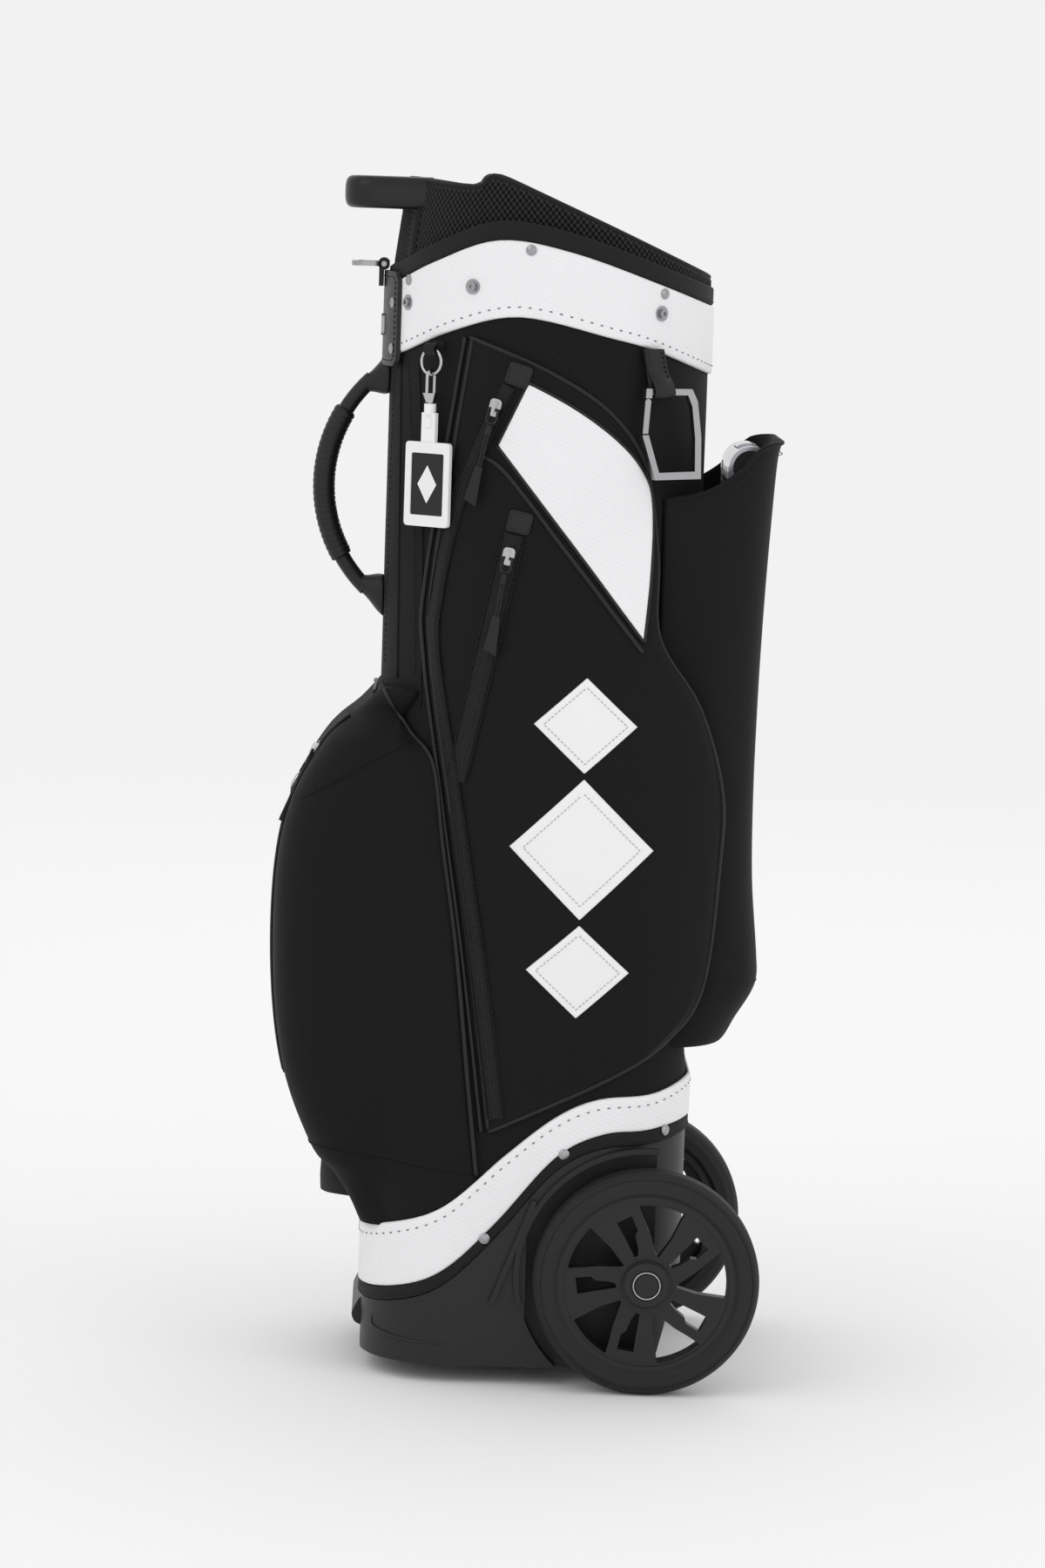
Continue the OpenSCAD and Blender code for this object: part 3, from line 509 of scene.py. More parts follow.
def grained(name, colour, rough=0.45, grain=900.0, depth=0.08, coat=0.0, spot=0.08, gloss=0.32):
    """Leather or moulded texture with a pebble grain."""
    mat, tree, bsdf, coords = looks(name, colour, rough, coat=coat, spot=spot, gloss=gloss)
    cells = new_node(tree, "TexVoronoi", {"Scale": grain, "Vector": coords})
    bump(tree, bsdf, cells.outputs["Distance"], depth)
    return mat


def brushed(name, colour, rough, depth=0.01, metallic=1.0, coat=0.0, spot=0.05):
    """Metal or hard gloss with fine drawn marks."""
    mat, tree, bsdf, coords = looks(name, colour, rough, metallic=metallic, coat=coat, spot=spot)
    stretch = new_node(tree, "Mapping", {"Scale": DRAWN, "Vector": coords})
    marks = new_node(tree, "TexNoise", {"Scale": 700, "Vector": stretch.outputs["Vector"]})
    bump(tree, bsdf, marks.outputs["Fac"], depth)
    return mat


NYLON = woven("nylon", (0.0075, 0.0075, 0.0085), 0.72, sheen=0.02)
SLEEVE_NYLON = woven("sleeve_nylon", (0.0085, 0.0085, 0.0095), 0.68, pitch=1.3, sheen=0.03)
LINING = woven("lining", (0.02, 0.02, 0.022), 0.85, pitch=1.8)
TAPE = webbing("zip_tape", (0.012, 0.012, 0.013), 1.4, 0.06)
WEBBING = webbing("webbing", (0.013, 0.013, 0.014))
WHITE = ribbed_leather("white_leather", (0.83, 0.83, 0.845))
PLAIN_WHITE = grained("plain_white_leather", (0.84, 0.84, 0.85), 0.48, 1100, 0.04, spot=0.015)
LEATHER = grained("black_leather", (0.009, 0.009, 0.0095), 0.42, 850, 0.07)
PIPING = grained("piping", (0.0085, 0.0085, 0.009), 0.45, 1200, 0.04)
MESH = spacer_mesh("mesh_cloth", (0.032, 0.032, 0.034))
THREAD = woven("black_thread", (0.02, 0.02, 0.022), 0.6, pitch=0.5)
PALE_THREAD = woven("pale_thread", (0.42, 0.42, 0.43), 0.6, pitch=0.5)
GREY_THREAD = woven("grey_thread", (0.16, 0.16, 0.165), 0.6, pitch=0.5)
CASE = grained("moulded_plastic", (0.0125, 0.0125, 0.0132), 0.44, 1500, 0.05)
RIM = grained("rim_plastic", (0.012, 0.012, 0.0125), 0.4, 1800, 0.03)
HANDLE = grained("handle_plastic", (0.008, 0.008, 0.0085), 0.3, 2200, 0.015)
TYRE = grained("tyre_rubber", (0.0135, 0.0135, 0.0138), 0.66, 1300, 0.06, spot=0.15)
SOFT_RUBBER = grained("soft_rubber", (0.01, 0.01, 0.01), 0.55, 1600, 0.03)
NICKEL = brushed("satin_nickel", (0.36, 0.36, 0.37), 0.3)
CHROME = brushed("chrome", (0.5, 0.5, 0.51), 0.14, depth=0.003)
ALLOY = brushed("alloy", (0.5, 0.5, 0.51), 0.34)
GLOSS = brushed("silver_gloss", (0.36, 0.36, 0.4), 0.2, depth=0.002, metallic=0.55, coat=0.6)
NYLON_WHITE = grained("bearing_nylon", (0.7, 0.7, 0.68), 0.5, 1500, 0.03)
WHITE_PLASTIC = grained("white_plastic", (0.82, 0.82, 0.83), 0.35, 2000, 0.02, spot=0.02)
BLACK_PLASTIC = grained("insert_plastic", (0.01, 0.01, 0.01), 0.4, 2000, 0.02)

NODE_LOOKS = (
    (CASE, "base_shell floor_tray liner_tube divider_top guide_brackets"),
    (NICKEL, "base_rivets collar_rivets snap_studs front_badge towel_ring carabiner_frame carabiner_gate"),
    (ALLOY, "axle axle_clips guide_tubes handle_tubes"),
    (SOFT_RUBBER, "front_foot grip_core ball_pull left_main_pull left_small_pull right_main_pull"),
    (CHROME, "tag_ring snap_hook ball_slider left_main_slider left_small_slider right_main_slider"),
    (LEATHER, "front_tab ring_mount"), (GLOSS, "grip_frame release_button"), (LINING, "divider_sheets"),
    (WEBBING, "tag_loop"), (PLAIN_WHITE, "tag_strap"), (WHITE_PLASTIC, "tag_plate"),
    (RIM, "left_rim right_rim left_cap right_cap"), (TYRE, "left_tyre right_tyre"),
    (NYLON_WHITE, "left_bearing right_bearing"),
)


def dress_nodes():
    """Gives the CAD nodes that stay visible their materials."""
    for look, names in NODE_LOOKS:
        for name in names.split():
            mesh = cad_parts[name].data
            mesh.materials.clear()
            mesh.materials.append(look)
            for polygon in mesh.polygons:
                polygon.material_index = 0


# ---- Padded body ----

def wrap(low, high, inside, outside, edge=2.0, rows=10):
    """A padded band round the body between two height lines, given as functions of the angle."""
    loops = []
    for angle in angles(288):
        bottom, top = low(angle), high(angle)
        span = top - bottom
        steps = [0, 0.12 * edge, 0.45 * edge, edge]
        steps += [mix(edge, span - edge, k / rows) for k in range(1, rows)]
        steps += [span - edge, span - 0.45 * edge, span - 0.12 * edge, span]
        loop = [shell(angle, bottom + d, mix(inside, outside, rounded(min(d, span - d), edge)))
                for d in steps]
        loop += [shell(angle, top - 0.3, inside), shell(angle, bottom + 0.3, inside)]
        loops.append(loop)
    return Shape().loft(loops, along=True)


def level(line, lift=0.0):
    """Height of a line on the body at an angle."""
    return lambda angle: on_line(angle, line, 0, lift).z


def build_shell():
    turn, rows = 240, 130
    low, high = level(shell_line, 4), level(collar_top, -8)
    outer, inner = [], []
    for t in ramp(rows):
        ring, hole = [], []
        for angle in angles(turn):
            z = mix(low(angle), high(angle), t)
            crease = noise.noise(vec(cos(angle) * 3.1, sin(angle) * 3.1, z * 0.012))
            ring.append(shell(angle, z, 0.35 * crease - 0.35))
            hole.append(polar(HOLLOW_R, angle, z))
        outer.append(ring)
        inner.append(hole)
    rows_all = outer + inner[::-1]
    obj = Shape().loft(rows_all, along=True).piece("shell_cloth", NYLON, slot="shell_fabric")
    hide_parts("bag_shell")
    return obj


def build_bands():
    """White bands and the woven bindings at the collar and the base."""
    binding_top = level(collar_top, BINDING_H)
    parts = [
        ("collar_band_look", level(collar_low), level(collar_top), 0.1, 2.9, WHITE,
         "white_leather", "collar_band"),
        ("collar_binding_look", level(collar_top, 0.3), binding_top, 0.1, 2.0, WEBBING,
         "webbing", "collar_binding"),
        ("base_band_look", level(shell_line, 11.2), level(band_line), 0.6, 3.1, WHITE,
         "white_leather", "base_band"),
        ("base_binding_look", level(shell_line, 0.6), level(shell_line, 11), 0.6, 2.5, WEBBING, "webbing",
         "base_binding"),
    ]
    for name, low, high, inside, outside, look, slot, node in parts:
        obj = wrap(low, high, inside, outside).piece(name, look, slot=slot)
        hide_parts(node)
    once = angles(360) + [tau]
    pale = Shape()
    pale.stitches([on_line(a, collar_low, 3.0, 7.5) for a in once], 7.8, 2.4, 0.5)
    pale.stitches([on_line(a, band_line, 3.2, -7.5) for a in once], 7.8, 2.4, 0.5)
    pale.piece("band_stitches", GREY_THREAD)
    dark = Shape()
    dark.stitches([on_line(a, collar_top, 2.1, 3.2) for a in once], 4.5, 3.0, 0.35)
    dark.stitches([on_line(a, shell_line, 2.6, 3.2) for a in once], 4.5, 3.0, 0.35)
    dark.piece("binding_stitches", THREAD)


def collar_r(z):
    """Radius of the leaning mesh collar."""
    return TUBE_R - 1 - COLLAR_LEAN * clamp((z - COLLAR_Z) / 70) + (z < COLLAR_Z)


def rim_top(angle):
    """Height of the mouth's rim."""
    return rim_line.at(TUBE_X + HOLLOW_R * cos(angle))


def build_mesh_collar():
    """Spacer mesh with a diamond pit in each cell, closed over the moulded ring and bound at the rim."""
    pit, loops, rim = 1.9, [], []
    for angle in angles(CELLS * 6):
        top = rim_top(angle)
        bottom = min(on_line(angle, collar_top).z - 6, top - 10)
        loop = []
        for t in ramp(80):
            z = mix(bottom, top - 5, t)
            lattice = abs(cos(CELLS * angle) + cos(tau * z / CELL_H))
            depth = pit * ease((lattice - 0.3) / 0.8) * clamp((z - bottom) / 3) * clamp((top - 5 - z) / 1.5)
            loop.append((collar_r(z) - depth, z))
        r = collar_r(top)
        loop += [(r + 0.3, top - 3.6), (r - 0.4, top - 1.2), (r - 2.6, top), (r - 6, top - 0.2),
                 (100.5, top - 1), (99, top - 2.5), (99, top - 4.5), (r - 3.4, top - 4.6),
                 (collar_r(bottom) - 3, bottom)]
        loops.append([polar(q, angle, z) for q, z in loop])
    obj = Shape().loft(loops, along=True).piece("mesh_collar_look", MESH, slot="spacer_mesh")
    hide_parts("mesh_collar")
    for angle in angles(288):
        top = rim_top(angle)
        r = collar_r(top)
        profile = [(r + 0.7, -3), (r + 0.5, -1), (r - 2.2, 0.7), (r - 6, 0.6), (100.4, -0.3),
                   (98.5, -2), (98.5, -5), (r - 4, -4), (r - 1, -3.4)]
        rim.append([polar(q, angle, top + up) for q, up in profile])
    Shape().loft(rim, along=True).piece("collar_rim", WEBBING)
    strips, seam, half = Shape(), Shape(), 7 / TUBE_R
    for angle in (radians(180 - 25), radians(180 + 25)):
        rows = []
        for t in ramp(24):
            ring = []
            for side, lift in ((-1, 0.2), (-0.86, 1.1), (0, 1.3), (0.86, 1.1), (1, 0.2)):
                a = angle + side * half
                z = mix(on_line(a, collar_top).z + 8, rim_top(a) - 0.5, t)
                ring.append(polar(collar_r(z) + lift, a, z))
            rows.append(ring + [p - (p - vec(TUBE_X, 0, p.z)).normalized() * 2.2
                                for p in reversed(ring)])
        strips.loft(rows, ends=True)
        for side in (-0.62, 0.62):
            a = angle + side * half
            heights = [mix(on_line(a, collar_top).z + 14, rim_top(a) - 2, t) for t in ramp(29)]
            seam.stitches([polar(collar_r(z) + 1.4, a, z) for z in heights], 4, 2.6, 0.35)
    strips.piece("collar_straps", WEBBING)
    seam.piece("collar_strap_stitches", THREAD)


def build_lift_handle():
    """Moulded handle: a rounded bar in front of the mouth, held by two arms."""
    low, high = node_box("lift_handle")
    middle_z, half_w, half_h, corner = (low.z + high.z) / 2 + 1, 8.8, (high.z - low.z) / 2 + 0.4, 11.5
    bar_x, arm_y = low.x + half_w + 0.3, high.y - half_w - 0.3
    left = [vec(mix(-81.5, bar_x + corner, t), -arm_y, middle_z) for t in ramp(8)]
    left += [vec(bar_x + corner - corner * sin(a), -arm_y + corner - corner * cos(a), middle_z)
             for a in quarter(8)]
    left += [vec(bar_x, mix(corner - arm_y, 0, t), middle_z) for t in ramp(8)[1:]]
    path = both_sides(left)
    rows = []
    for i, p in enumerate(path):
        side = level_side(path, i)
        rows.append([p + side * squared(cos(a), 0.6) * half_w
                     + vec(0, 0, squared(sin(a), 0.6) * half_h) for a in angles(32)])
    obj = Shape().loft(rows, ends=True).piece("lift_handle_look", HANDLE, slot="handle_plastic")
    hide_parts("lift_handle")


# ---- Pockets ----

def soft_max(a, b, blend):
    h = max(blend - abs(a - b), 0.0) / blend
    return max(a, b) + h * h * blend / 4


def pocket_out(x, z):
    """Half width of the filled side pocket."""
    under = body_y(x, z) + 2.8
    if x > 92:
        under = max(under, SLEEVE_HALF + 3.2)
    r = LENS_R - LENS_ARC + sqrt(LENS_ARC ** 2 - (z - LENS_Z) ** 2)
    lens = sqrt(max(0.0, r * r - (x - LENS_X) ** 2))
    return soft_max(under, lens, 6.0)


def pocket_in(x, z):
    under = body_y(x, z) + 0.3
    return max(under, SLEEVE_HALF + 0.7) if x > 92 else under


def build_pocket():
    """Left side pocket as one closed cloth form; returns the shape in place."""
    top, bottom, count, across = 775, 191, 130, 60
    rows = []
    for k in range(count + 1):
        t = k / count
        z = mix(top, bottom, t)
        a, b = pocket_front.at(z), pocket_rear.at(z)
        out, back = [], []
        for j in range(across + 1):
            u = 0.5 - 0.5 * cos(pi * j / across)
            x = mix(a, b, u)
            edge = min(x - a, b - x, (top - z) * 1.6 + 2, (z - bottom) * 1.2 + 2)
            crease = noise.noise(vec(x * 0.02, z * 0.012, 7.3)) * 1.2
            crease += noise.noise(vec(x * 0.05 + z * 0.03, z * 0.01, 2.1)) * 0.6
            y = mix(pocket_in(x, z), pocket_out(x, z) + crease * ease(edge / 40), rounded(edge, 7))
            out.append(vec(x, -y, z))
            back.append(vec(x, -pocket_in(x, z), z))
        rows.append(out + back[::-1][1:-1])
    return Shape().loft(rows, ends=True)


def soften(obj, pressure, cap, frames=20):
    """Swells a closed cloth form a little by cloth simulation, keeping its seams where they are."""
    start = [v.co.copy() for v in obj.data.vertices]
    cloth = obj.modifiers.new("cloth", "CLOTH")
    settings = cloth.settings
    settings.quality = 5
    settings.mass = 0.3
    settings.tension_stiffness = settings.compression_stiffness = 30
    settings.bending_stiffness = 1.5
    settings.use_pressure = True
    settings.uniform_pressure_force = pressure
    settings.effector_weights.gravity = 0
    settings.vertex_group_mass = "held"
    cloth.collision_settings.use_collision = False
    cloth.point_cache.frame_start, cloth.point_cache.frame_end = 1, frames
    scene = bpy.context.scene
    for step in range(1, frames + 1):
        scene.frame_set(step)
    swollen = obj.evaluated_get(bpy.context.evaluated_depsgraph_get())
    ends = [v.co.copy() for v in swollen.data.vertices]
    obj.modifiers.remove(cloth)
    scene.frame_set(1)
    for vertex, before, after in zip(obj.data.vertices, start, ends):
        move = after - before
        if move.length > cap * MM:
            move *= cap * MM / move.length
        vertex.co = before + move


def hold(obj, weight):
    """Pins each point of a piece by a weight worked out from its place in millimetres."""
    group = obj.vertex_groups.new(name="held")
    for vertex in obj.data.vertices:
        group.add([vertex.index], clamp(weight(vertex.co / MM)), "REPLACE")


def coil(shape, fine, side_of):
    """Coil teeth either side of a zip's gap."""
    for i in range(1, len(fine) - 1):
        side = side_of(i)
        for s in (-1, 1):
            middle = fine[i] + side * s * 1.15
            shape.tube([middle - side * 1.25, middle + side * 1.25], 0.55, sides=6)


def zip_line(skin, shape_tape, shape_teeth, shape_seams, points, width=15.0):
    """A zip on a surface: tape, coil teeth either side of the gap, and a stitched seam along each edge."""
    path = even(skin.left_path(points, 0.5, 10), 2.0)
    shape_tape.tube(path, 0.8, sides=10, wide=width / 2 / 0.8, out=skin.outward)
    fine = even(skin.left_path(points, 1.05, 12), 1.5)
    coil(shape_teeth, fine, lambda i: (fine[i + 1] - fine[i - 1]).normalized().cross(
        skin.outward(fine[i])).normalized())
    for s in (-1, 1):
        rail = []
        for i in range(1, len(path) - 1):
            ahead = (path[i + 1] - path[i - 1]).normalized()
            out = skin.outward(path[i])
            rail.append(path[i] + ahead.cross(out).normalized() * s * (width / 2 + 0.6) + out * 0.1)
        shape_seams[0].tube(rail, 0.7)
        lifted = [p + skin.outward(p) * 0.6 for p in rail[2:-2]]
        shape_seams[1].stitches(lifted, 4.4, 2.8, 0.34)


def patch(skin, front, rear, low, high, thick=1.3, edge=2.2, across=18, rows=36, lift=0.1):
    """A padded appliqué on a surface, between a front and a rear edge."""
    loops = []
    for k in range(rows + 1):
        z = mix(low, high, k / rows)
        a, b = front(z), rear(z)
        out, back = [], []
        for j in range(across + 1):
            x = mix(a, b, 0.5 - 0.5 * cos(pi * j / across))
            gap = min(x - a, b - x, (z - low) + 0.2, (high - z) + 0.2)
            base = skin.left(x, z, lift)
            raised = skin.left(x, z, lift + thick * rounded(gap, edge))
            if base is None or raised is None:
                base = raised = vec(x, -TUBE_R, z)
            out.append(raised)
            back.append(base)
        loops.append(out + back[::-1][1:-1])
    return Shape().loft(loops, ends=True)


def on_badge(skin, x, z, tilt, point, lift):
    """Place on the skin of a point in a badge's own plane, which leans back by tilt degrees."""
    t = radians(tilt)
    return skin.left(x + point[0] * cos(t) + point[1] * sin(t),
                     z - point[0] * sin(t) + point[1] * cos(t), lift)


def badge(skin, shape, x, z, tilt, width, height, thick, lift):
    """A small padded rectangle with round corners, laid on a surface."""
    loops, outline = [], round_outline(width, height, 3)
    small = min(width, height) / 2
    for inset, up in ((0, -0.6), (0, 0), (0.2, 0.5), (0.7, 0.85), (1.5, 1), (small * 0.5, 1),
                      (small * 0.95, 1)):
        k = 1 - inset / small
        ring = [on_badge(skin, x, z, tilt, (p[0] * k, p[1] * k), lift + thick * up) for p in outline]
        if all(ring):
            loops.append(ring)
    shape.loft(loops, ends=True)


def badge_stitches(skin, shape, x, z, tilt, width, height, lift):
    """Stitches along a rounded rectangle on a surface."""
    outline = round_outline(width, height, 2)
    path = [on_badge(skin, x, z, tilt, p, lift) for p in outline + outline[:1]]
    shape.stitches([p for p in path if p], 3.4, 2.3, 0.32)


def build_side_pockets():
    left = build_pocket().piece("left_pocket_cloth", NYLON, slot="shell_fabric")
    front_of, rear_of = pocket_front.at, pocket_rear.at

    def held(p):
        edge = min(p.x - front_of(p.z), rear_of(p.z) - p.x, p.z - 195, 560 - p.z)
        inner = 1.0 if -p.y < pocket_in(p.x, p.z) + 0.6 else 0.0
        return max(inner, 1 - ease(edge / 32))

    hold(left, held)
    soften(left, 2.0, 3.0)
    right_shape = Shape()
    right_shape.verts = [flip(v.co) / MM for v in left.data.vertices]
    right_shape.faces = [tuple(reversed(p.vertices)) for p in left.data.polygons]
    right = right_shape.piece("right_pocket_cloth", NYLON, slot="shell_fabric")
    for obj, node in ((left, "left_pocket"), (right, "right_pocket")):
        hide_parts(node)
    return left, right


def build_pocket_trim(skin):
    """Piping, panels, seams and zips of the side pockets. The small zip is on the left side only."""
    cord = Shape()
    rear = found(skin.left(q[0] - 1.2, q[1], 0.2) for q in smooth(POCKET_REAR, 8))
    front = found(skin.left(q[0] + 0.6, q[1], 0.2) for q in smooth(POCKET_FRONT, 10))
    second = [vec(q[0] - 5, -body_y(q[0] - 5, q[1]) - 0.8, q[1]) for q in smooth(POCKET_FRONT, 10)]
    for path in (rear, front, second):
        cord.tube(even(path, 2.5), 1.75, sides=10)
    for points, lift, radius, sides, straight in (
            (PANEL_REAR, 0.6, 1.5, 8, False), (PANEL_FRONT[1:], 0.6, 1.5, 8, True),
            (LOWER_PIPING, 0.4, 1.9, 10, False), (PANEL_FRONT[:2], 0.6, 1.2, 8, False)):
        cord.tube(even(skin.left_path(points, lift, straight=straight), 2.5), radius, sides)
    cord.both().piece("pocket_piping", PIPING)

    seam, ridge = Shape(), Shape()
    for points, radius in ((FACING_SEAM, 0.36), ([[-106, 753], [-107, 640], [-107, 522]], 0.34),
                           ([[-96, 753], [-91, 690], [-87, 612], [-84, 520]], 0.34)):
        seam.stitches(skin.left_path(points, 0.5), 4.6, 3.0, radius)
    for points, radius in (([[-101, 756], [-99, 640], [-97, 520]], 1.0),
                           ([[-88, 756], [-84, 690], [-81, 612], [-79, 500]], 1.2)):
        ridge.tube(skin.left_path(points, 0.1), radius)
    ridge.both().piece("tube_seams", NYLON)
    seam.both().piece("tube_stitches", THREAD)

    front_edge, rear_edge = Line(PANEL_FRONT, 1, steps=1), Line(PANEL_REAR, 1)
    panel_shape = patch(skin, front_edge.at, rear_edge.at, 557.5, 744.5, 1.6, 3.0, 26, 70)
    obj = panel_shape.both().piece("white_panels", WHITE, slot="white_leather")
    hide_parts("side_panels")

    tape, teeth, ridges, dashes = Shape(), Shape(), Shape(), Shape()
    zip_line(skin, tape, teeth, (ridges, dashes), ZIP_MAIN, 11.0)
    for shape in (tape, teeth, ridges, dashes):
        shape.both()
    zip_line(skin, tape, teeth, (ridges, dashes), ZIP_SMALL, 15.0)
    chain = tape.piece("zip_tapes", TAPE)
    teeth.piece("zip_teeth", BLACK_PLASTIC, slot="webbing")
    ridges.piece("zip_folds", NYLON)
    dashes.piece("zip_stitches", THREAD)
    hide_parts("zip_chains")

    tabs, sewn = Shape(), Shape()
    for x, z, tilt in ((-15, 750, 16), (-11, 643, 13)):
        badge(skin, tabs, x, z, tilt, 18, 17, 1.5, 0.9)
        badge_stitches(skin, sewn, x, z, tilt, 14.4, 13.4, 2.5)
    tabs.piece("zip_garages", LEATHER)
    sewn.piece("zip_garage_stitches", THREAD)


def lozenge(middle_x, middle_z, half_w, half_h):
    """Front and rear edges of a rhombus."""
    def half(z):
        return half_w * (1 - abs(z - middle_z) / half_h)
    return (lambda z: middle_x - half(z)), (lambda z: middle_x + half(z))


def build_applique(skin):
    """Plain embroidered rhombi, largest in the middle, with a sewn line inside each."""
    white, sewn = Shape(), Shape()
    for x, z, w, h in ((42, 405, 53, 52), (42, 496, 38, 35), (42, 314, 38, 35)):
        front, rear = lozenge(x, z, w, h)
        white.join(patch(skin, front, rear, z - h + 0.4, z + h - 0.4, 1.4, 1.8, 20, 60, 0.15))
        k = 0.8
        ring = [(x, z + h * k), (x + w * k, z), (x, z - h * k), (x - w * k, z), (x, z + h * k)]
        flat = [vec(a[0], a[1]) for a in ring]
        path = []
        for a, b in zip(flat, flat[1:]):
            path += found(skin.left(*(a + (b - a) * t / 14), 1.7) for t in range(15))
        sewn.stitches(path, 3.4, 2.4, 0.34)
    white.both().piece("applique", PLAIN_WHITE, slot="white_leather")
    sewn.both().piece("applique_stitches", PALE_THREAD)


def build_ball_pocket():
    """Front pocket: rows from the bottom up, each running round from the left edge to the right."""
    low, high, count = 114, 513, 96
    near = ball_edge.at
    rows = []
    for k in range(count + 1):
        z = mix(low, high, k / count)
        front, half, corner = (ball_front.at(z, c) for c in (1, 2, 3))
        x0 = near(z)
        y0 = body_y(x0, z) + 0.4
        half = min(half, y0 + 4)
        corner = min(corner, half - 4)
        side = []
        for t in ramp(14):
            x = mix(x0, front + corner, t)
            y = mix(y0, half, ease(t * 1.6)) + 2.2 * sin(pi * t)
            y = soft_max(y, body_y(x, z) + 1.2, 8.0) if TUBE_X - x < TUBE_R - 4 else y
            under_band = ease((band_line.at(x) + 3 - z) / 4)
            side.append((x, mix(y, min(y, body_y(x, z) - 0.6), under_band)))
        half = side[-1][1]
        corner = min(corner, half - 4)
        bend = [(front + corner - corner * sin(a), half - corner + corner * cos(a))
                for a in quarter(10)]
        flat = [(front - 2.0 * sin(pi / 2 * t), (half - corner) * (1 - t)) for t in ramp(8)[1:]]
        outer = both_sides([vec(x, -y, z) for x, y in side + bend + flat])
        back = []
        steps = 32
        for i in range(1, steps):
            y = y0 * cos(pi * i / steps)
            back.append(vec(max(TUBE_X - reach(y, z) - 0.3, front + 3), y, z))
        for p in outer:
            crease = noise.noise(vec(p.y * 0.018, p.z * 0.011, p.x * 0.01))
            p += vec(-0.5, 0.6 * copysign(1, p.y or 1), 0) * crease
        rows.append(outer + back)
    obj = Shape().loft(rows, ends=True).piece("ball_pocket_cloth", NYLON, slot="shell_fabric")
    hold(obj, lambda p: max(1 - ease((near(p.z) - p.x) / 26), 1 - ease((p.z - low) / 24),
                            1 - ease((high - p.z) / 34)))
    soften(obj, 2.0, 4.0)
    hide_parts("ball_pocket")
    return obj


def build_ball_trim(ball):
    """Piping where the pocket meets the tube, seams across it, and the zip down its front."""
    skin = Skin(ball)
    cord = Shape()
    edge = found(skin.left(near[0] - 1.4, near[1], 0.4) for near in smooth(BALL_EDGE, 10)
                 if near[1] > band_line.at(near[0]) + 2)
    cord.tube(even(edge, 2.5), 1.8, sides=10)
    cord.both()
    across = [mix(-46, 46, t) for t in ramp(40)]
    cord.tube(found(skin.front(y, 508 + 3.0 * (1 - (y / 46) ** 2), 0.2) for y in across), 1.8, sides=10)
    cord.piece("ball_piping", PIPING)

    seam, dashes = Shape(), Shape()
    for z_near, z_front, x_near, x_front in ((476, 430, -86, -166), (157, 170, -27, -146)):
        path = found(skin.left(mix(x_near, x_front, t), mix(z_near, z_front, t), 0.05) for t in ramp(30))
        half = -path[-1].y
        path += found(skin.front(mix(-half, 0, t), z_front - 3 * ease(t), 0.05) for t in ramp(30)[1:])
        # The upper seam stops either side of the zip, which is on the left only
        gap = 10 if z_front > BALL_ZIP_LOW else 0
        before = [p for p in path if p.y <= BALL_ZIP_Y - gap]
        after = [p for p in path if p.y >= BALL_ZIP_Y + gap]
        for part in (before, after, [flip(p) for p in path]):
            seam.tube(part, 0.75)
            dashes.stitches([p + vec(0, 0, 3) + skin.outward(p) * 0.3 for p in part], 4.6, 2.8, 0.3)
    seam.piece("ball_seams", NYLON)
    dashes.piece("ball_stitches", THREAD)

    tape, teeth = Shape(), Shape()
    path = even(found(skin.front(BALL_ZIP_Y, z, 0.35) for z in range(490, BALL_ZIP_LOW, -3)), 2.0)
    tape.tube(path, 0.8, sides=10, wide=8.5, out=lambda p: vec(-1, 0, 0.3))
    fine = even([p + skin.outward(p) * 0.9 for p in path], 1.5)
    coil(teeth, fine, lambda i: vec(0, 1, 0))
    tape.piece("ball_zip_tape", TAPE)
    teeth.piece("ball_zip_teeth", BLACK_PLASTIC)


# ---- Sleeve, strap, handle ----

